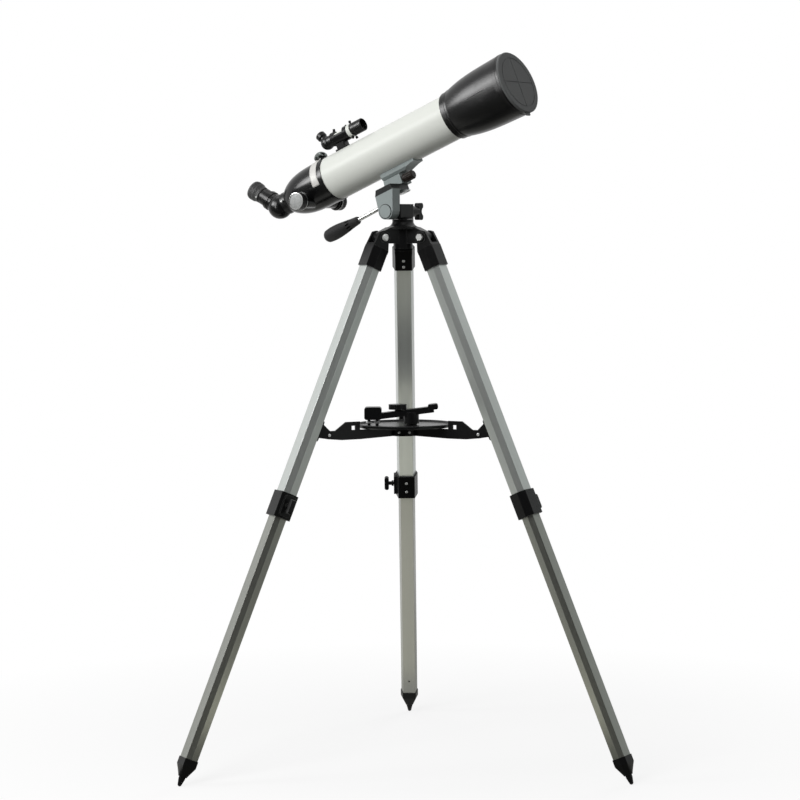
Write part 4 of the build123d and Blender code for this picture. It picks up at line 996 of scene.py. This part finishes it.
class TELESCOPE_OT_stage(bpy.types.Operator):
    """Floor, lights, background and camera"""

    bl_idname = "telescope.stage"
    bl_label = "Studio"

    def execute(self, context):
        studio = context.scene.telescope_studio
        self.floor()
        self.flags()
        self.world(studio)
        self.lights(studio)
        self.camera(studio)
        context.scene.view_settings.view_transform = "Standard"
        return {"FINISHED"}

    def seen_directly(self, tree):
        """1 for rays that show the background: from the camera, off gloss or through glass."""
        path = add_node(tree, "ShaderNodeLightPath")
        either = math_node(tree, "MAXIMUM", path.outputs["Is Camera Ray"], path.outputs["Is Glossy Ray"])
        return math_node(tree, "MAXIMUM", either, path.outputs["Is Transmission Ray"])

    def floor(self):
        """Pale floor, white where it is seen directly, with the object's shadow near its feet."""
        span = (-FLOOR_REACH, FLOOR_REACH)
        tree = self.sheet("floor", (span, span, (0.0, 0.0)))
        place = add_node(tree, "ShaderNodeNewGeometry").outputs["Position"]
        away = vector_node(tree, "LENGTH", place, None)
        whitened = spread(tree, away.outputs["Value"], *FLOOR_FADE, *FLOOR_WHITE)
        matt = add_node(tree, "ShaderNodeBsdfDiffuse")
        seen = self.seen_directly(tree)
        tree.links.new(blend_colour(tree, seen, FLOOR_BOUNCE, FLOOR_SEEN), matt.inputs["Color"])
        white = add_node(tree, "ShaderNodeEmission", Color=WHITE, Strength=1.0)
        share = math_node(tree, "MULTIPLY", seen, whitened)
        self.mix_out(tree, "ShaderNodeOutputMaterial", share, matt, white)

    def mix_out(self, tree, output, share, first, second):
        """Ends a tree in a mix of two shaders."""
        mix = add_node(tree, "ShaderNodeMixShader")
        out = add_node(tree, output)
        tree.links.new(share, mix.inputs[0])
        tree.links.new(first.outputs[0], mix.inputs[1])
        tree.links.new(second.outputs[0], mix.inputs[2])
        tree.links.new(mix.outputs[0], out.inputs["Surface"])

    def sheet(self, name, spans):
        """A flat stage sheet over its two open spans; gives back its material's empty node tree."""
        first, second = (axis for axis, (low, high) in enumerate(spans) if low != high)
        corners = []
        for one, other in ((0, 0), (1, 0), (1, 1), (0, 1)):
            corner = [low for low, _ in spans]
            corner[first] = spans[first][one]
            corner[second] = spans[second][other]
            corners.append(corner)
        mesh = bpy.data.meshes.new(name)
        mesh.from_pydata(corners, [], [(0, 1, 2, 3)])
        material = bpy.data.materials.new(name)
        material.use_nodes = True
        material.node_tree.nodes.clear()
        mesh.materials.append(material)
        sheet = bpy.data.objects.new(name, mesh)
        bpy.context.scene.collection.objects.link(sheet)
        return material.node_tree

    def flags(self):
        """Dark and pale cards that only reflections see, as a studio has round its camera."""
        legs = [f"{part}_leg_{number}" for part in ("upper", "lower") for number in LEGS]
        for name, (colour, spans) in CARDS.items():
            tree = self.sheet(name, spans)
            glow = add_node(tree, "ShaderNodeEmission", Color=(*colour, 1.0), Strength=1.0)
            out = add_node(tree, "ShaderNodeOutputMaterial")
            tree.links.new(glow.outputs[0], out.inputs["Surface"])
            card = bpy.data.objects[name]
            card.visible_camera = False
            card.visible_diffuse = False
            card.visible_transmission = False
            card.visible_shadow = False
            if name in LEG_CARDS:
                self.light_only(card, legs)

    def world(self, studio):
        world = bpy.data.worlds.new("studio")
        bpy.context.scene.world = world
        world.use_nodes = True
        tree = world.node_tree
        tree.nodes.clear()
        soft = add_node(tree, "ShaderNodeBackground", Color=WHITE, Strength=studio.fill)
        white = add_node(tree, "ShaderNodeBackground", Color=WHITE, Strength=1.0)
        self.mix_out(tree, "ShaderNodeOutputWorld", self.seen_directly(tree), soft, white)

    def lights(self, studio):
        """The softboxes; two are too bright to be seen in reflections, and one is seen only there."""
        self.softbox("key", SOFTBOX_TARGET, studio.key_light).visible_glossy = False
        self.softbox("left", SOFTBOX_TARGET, studio.side_light)
        self.softbox("top", SOFTBOX_TARGET, studio.top_light)
        self.softbox("rear", SOFTBOX_TARGET, studio.rear_light).visible_glossy = False
        gloss = self.softbox("gloss", GLOSS_TARGET, studio.gloss_light)
        gloss.visible_diffuse = False
        self.light_only(gloss, SHEEN_NODES)

    def softbox(self, name, target, watts):
        place, size = SOFTBOXES[name]
        data = bpy.data.lights.new(f"{name} softbox", "AREA")
        data.size = size
        data.energy = watts
        lamp = bpy.data.objects.new(data.name, data)
        lamp.location = place
        lamp.rotation_euler = (Vector(target) - Vector(place)).to_track_quat("-Z", "Y").to_euler()
        lamp.visible_camera = False
        bpy.context.scene.collection.objects.link(lamp)
        return lamp

    def light_only(self, source, nodes):
        """Keeps a lamp's or a card's light to some of the solids."""
        lit = bpy.data.collections.new(f"lit by {source.name}")
        for node in nodes:
            lit.objects.link(frame["nodes"][node])
        source.light_linking.receiver_collection = lit

    def camera(self, studio):
        axis = joint_place("pan")
        right = Vector((math.cos(studio.orbit), math.sin(studio.orbit), 0))
        ahead = Vector((-math.sin(studio.orbit), math.cos(studio.orbit), 0))
        place = Vector((axis.x, axis.y, studio.height))
        place -= ahead * studio.distance + right * studio.sidestep
        look = ahead * math.cos(studio.pitch) - Vector((0, 0, math.sin(studio.pitch)))
        up = right.cross(look)
        x_axis = right * math.cos(studio.roll) + up * math.sin(studio.roll)
        y_axis = up * math.cos(studio.roll) - right * math.sin(studio.roll)
        data = bpy.data.cameras.new("camera")
        data.lens = studio.focal
        data.sensor_width = 36.0
        camera = bpy.data.objects.new("camera", data)
        turn = Matrix((x_axis, y_axis, -look)).transposed().to_4x4()
        camera.matrix_world = Matrix.Translation(place) @ turn
        bpy.context.scene.collection.objects.link(camera)
        bpy.context.scene.camera = camera


OPERATORS = (
    TELESCOPE_OT_finishes,
    TELESCOPE_OT_leg_rivets,
    TELESCOPE_OT_spreader_rivets,
    TELESCOPE_OT_knob_faces,
    TELESCOPE_OT_thumbscrews,
    TELESCOPE_OT_plate,
    TELESCOPE_OT_shield_rib,
    TELESCOPE_OT_pivot_ring,
    TELESCOPE_OT_stage,
)
SETTINGS = {
    "telescope_finishes": TelescopeFinishes,
    "telescope_fittings": TelescopeFittings,
    "telescope_studio": TelescopeStudio,
}


class TELESCOPE_PT_panel(bpy.types.Panel):
    """Lists the steps that dress the telescope"""

    bl_idname = "TELESCOPE_PT_panel"
    bl_label = "Telescope"
    bl_space_type = "VIEW_3D"
    bl_region_type = "UI"
    bl_category = "Telescope"

    def draw(self, context):
        for name, group in SETTINGS.items():
            for setting in group.__annotations__:
                self.layout.prop(getattr(context.scene, name), setting)
        for operator in OPERATORS:
            self.layout.operator(operator.bl_idname)


CLASSES = (*SETTINGS.values(), *OPERATORS, TELESCOPE_PT_panel)


def register():
    for cls in CLASSES:
        bpy.utils.register_class(cls)
    for name, group in SETTINGS.items():
        setattr(bpy.types.Scene, name, PointerProperty(type=group))


def unregister():
    for name in SETTINGS:
        delattr(bpy.types.Scene, name)
    for cls in reversed(CLASSES):
        bpy.utils.unregister_class(cls)


def main():
    register()
    for operator in OPERATORS:
        group, name = operator.bl_idname.split(".")
        getattr(getattr(bpy.ops, group), name)()


if __name__ == "__main__":
    main()
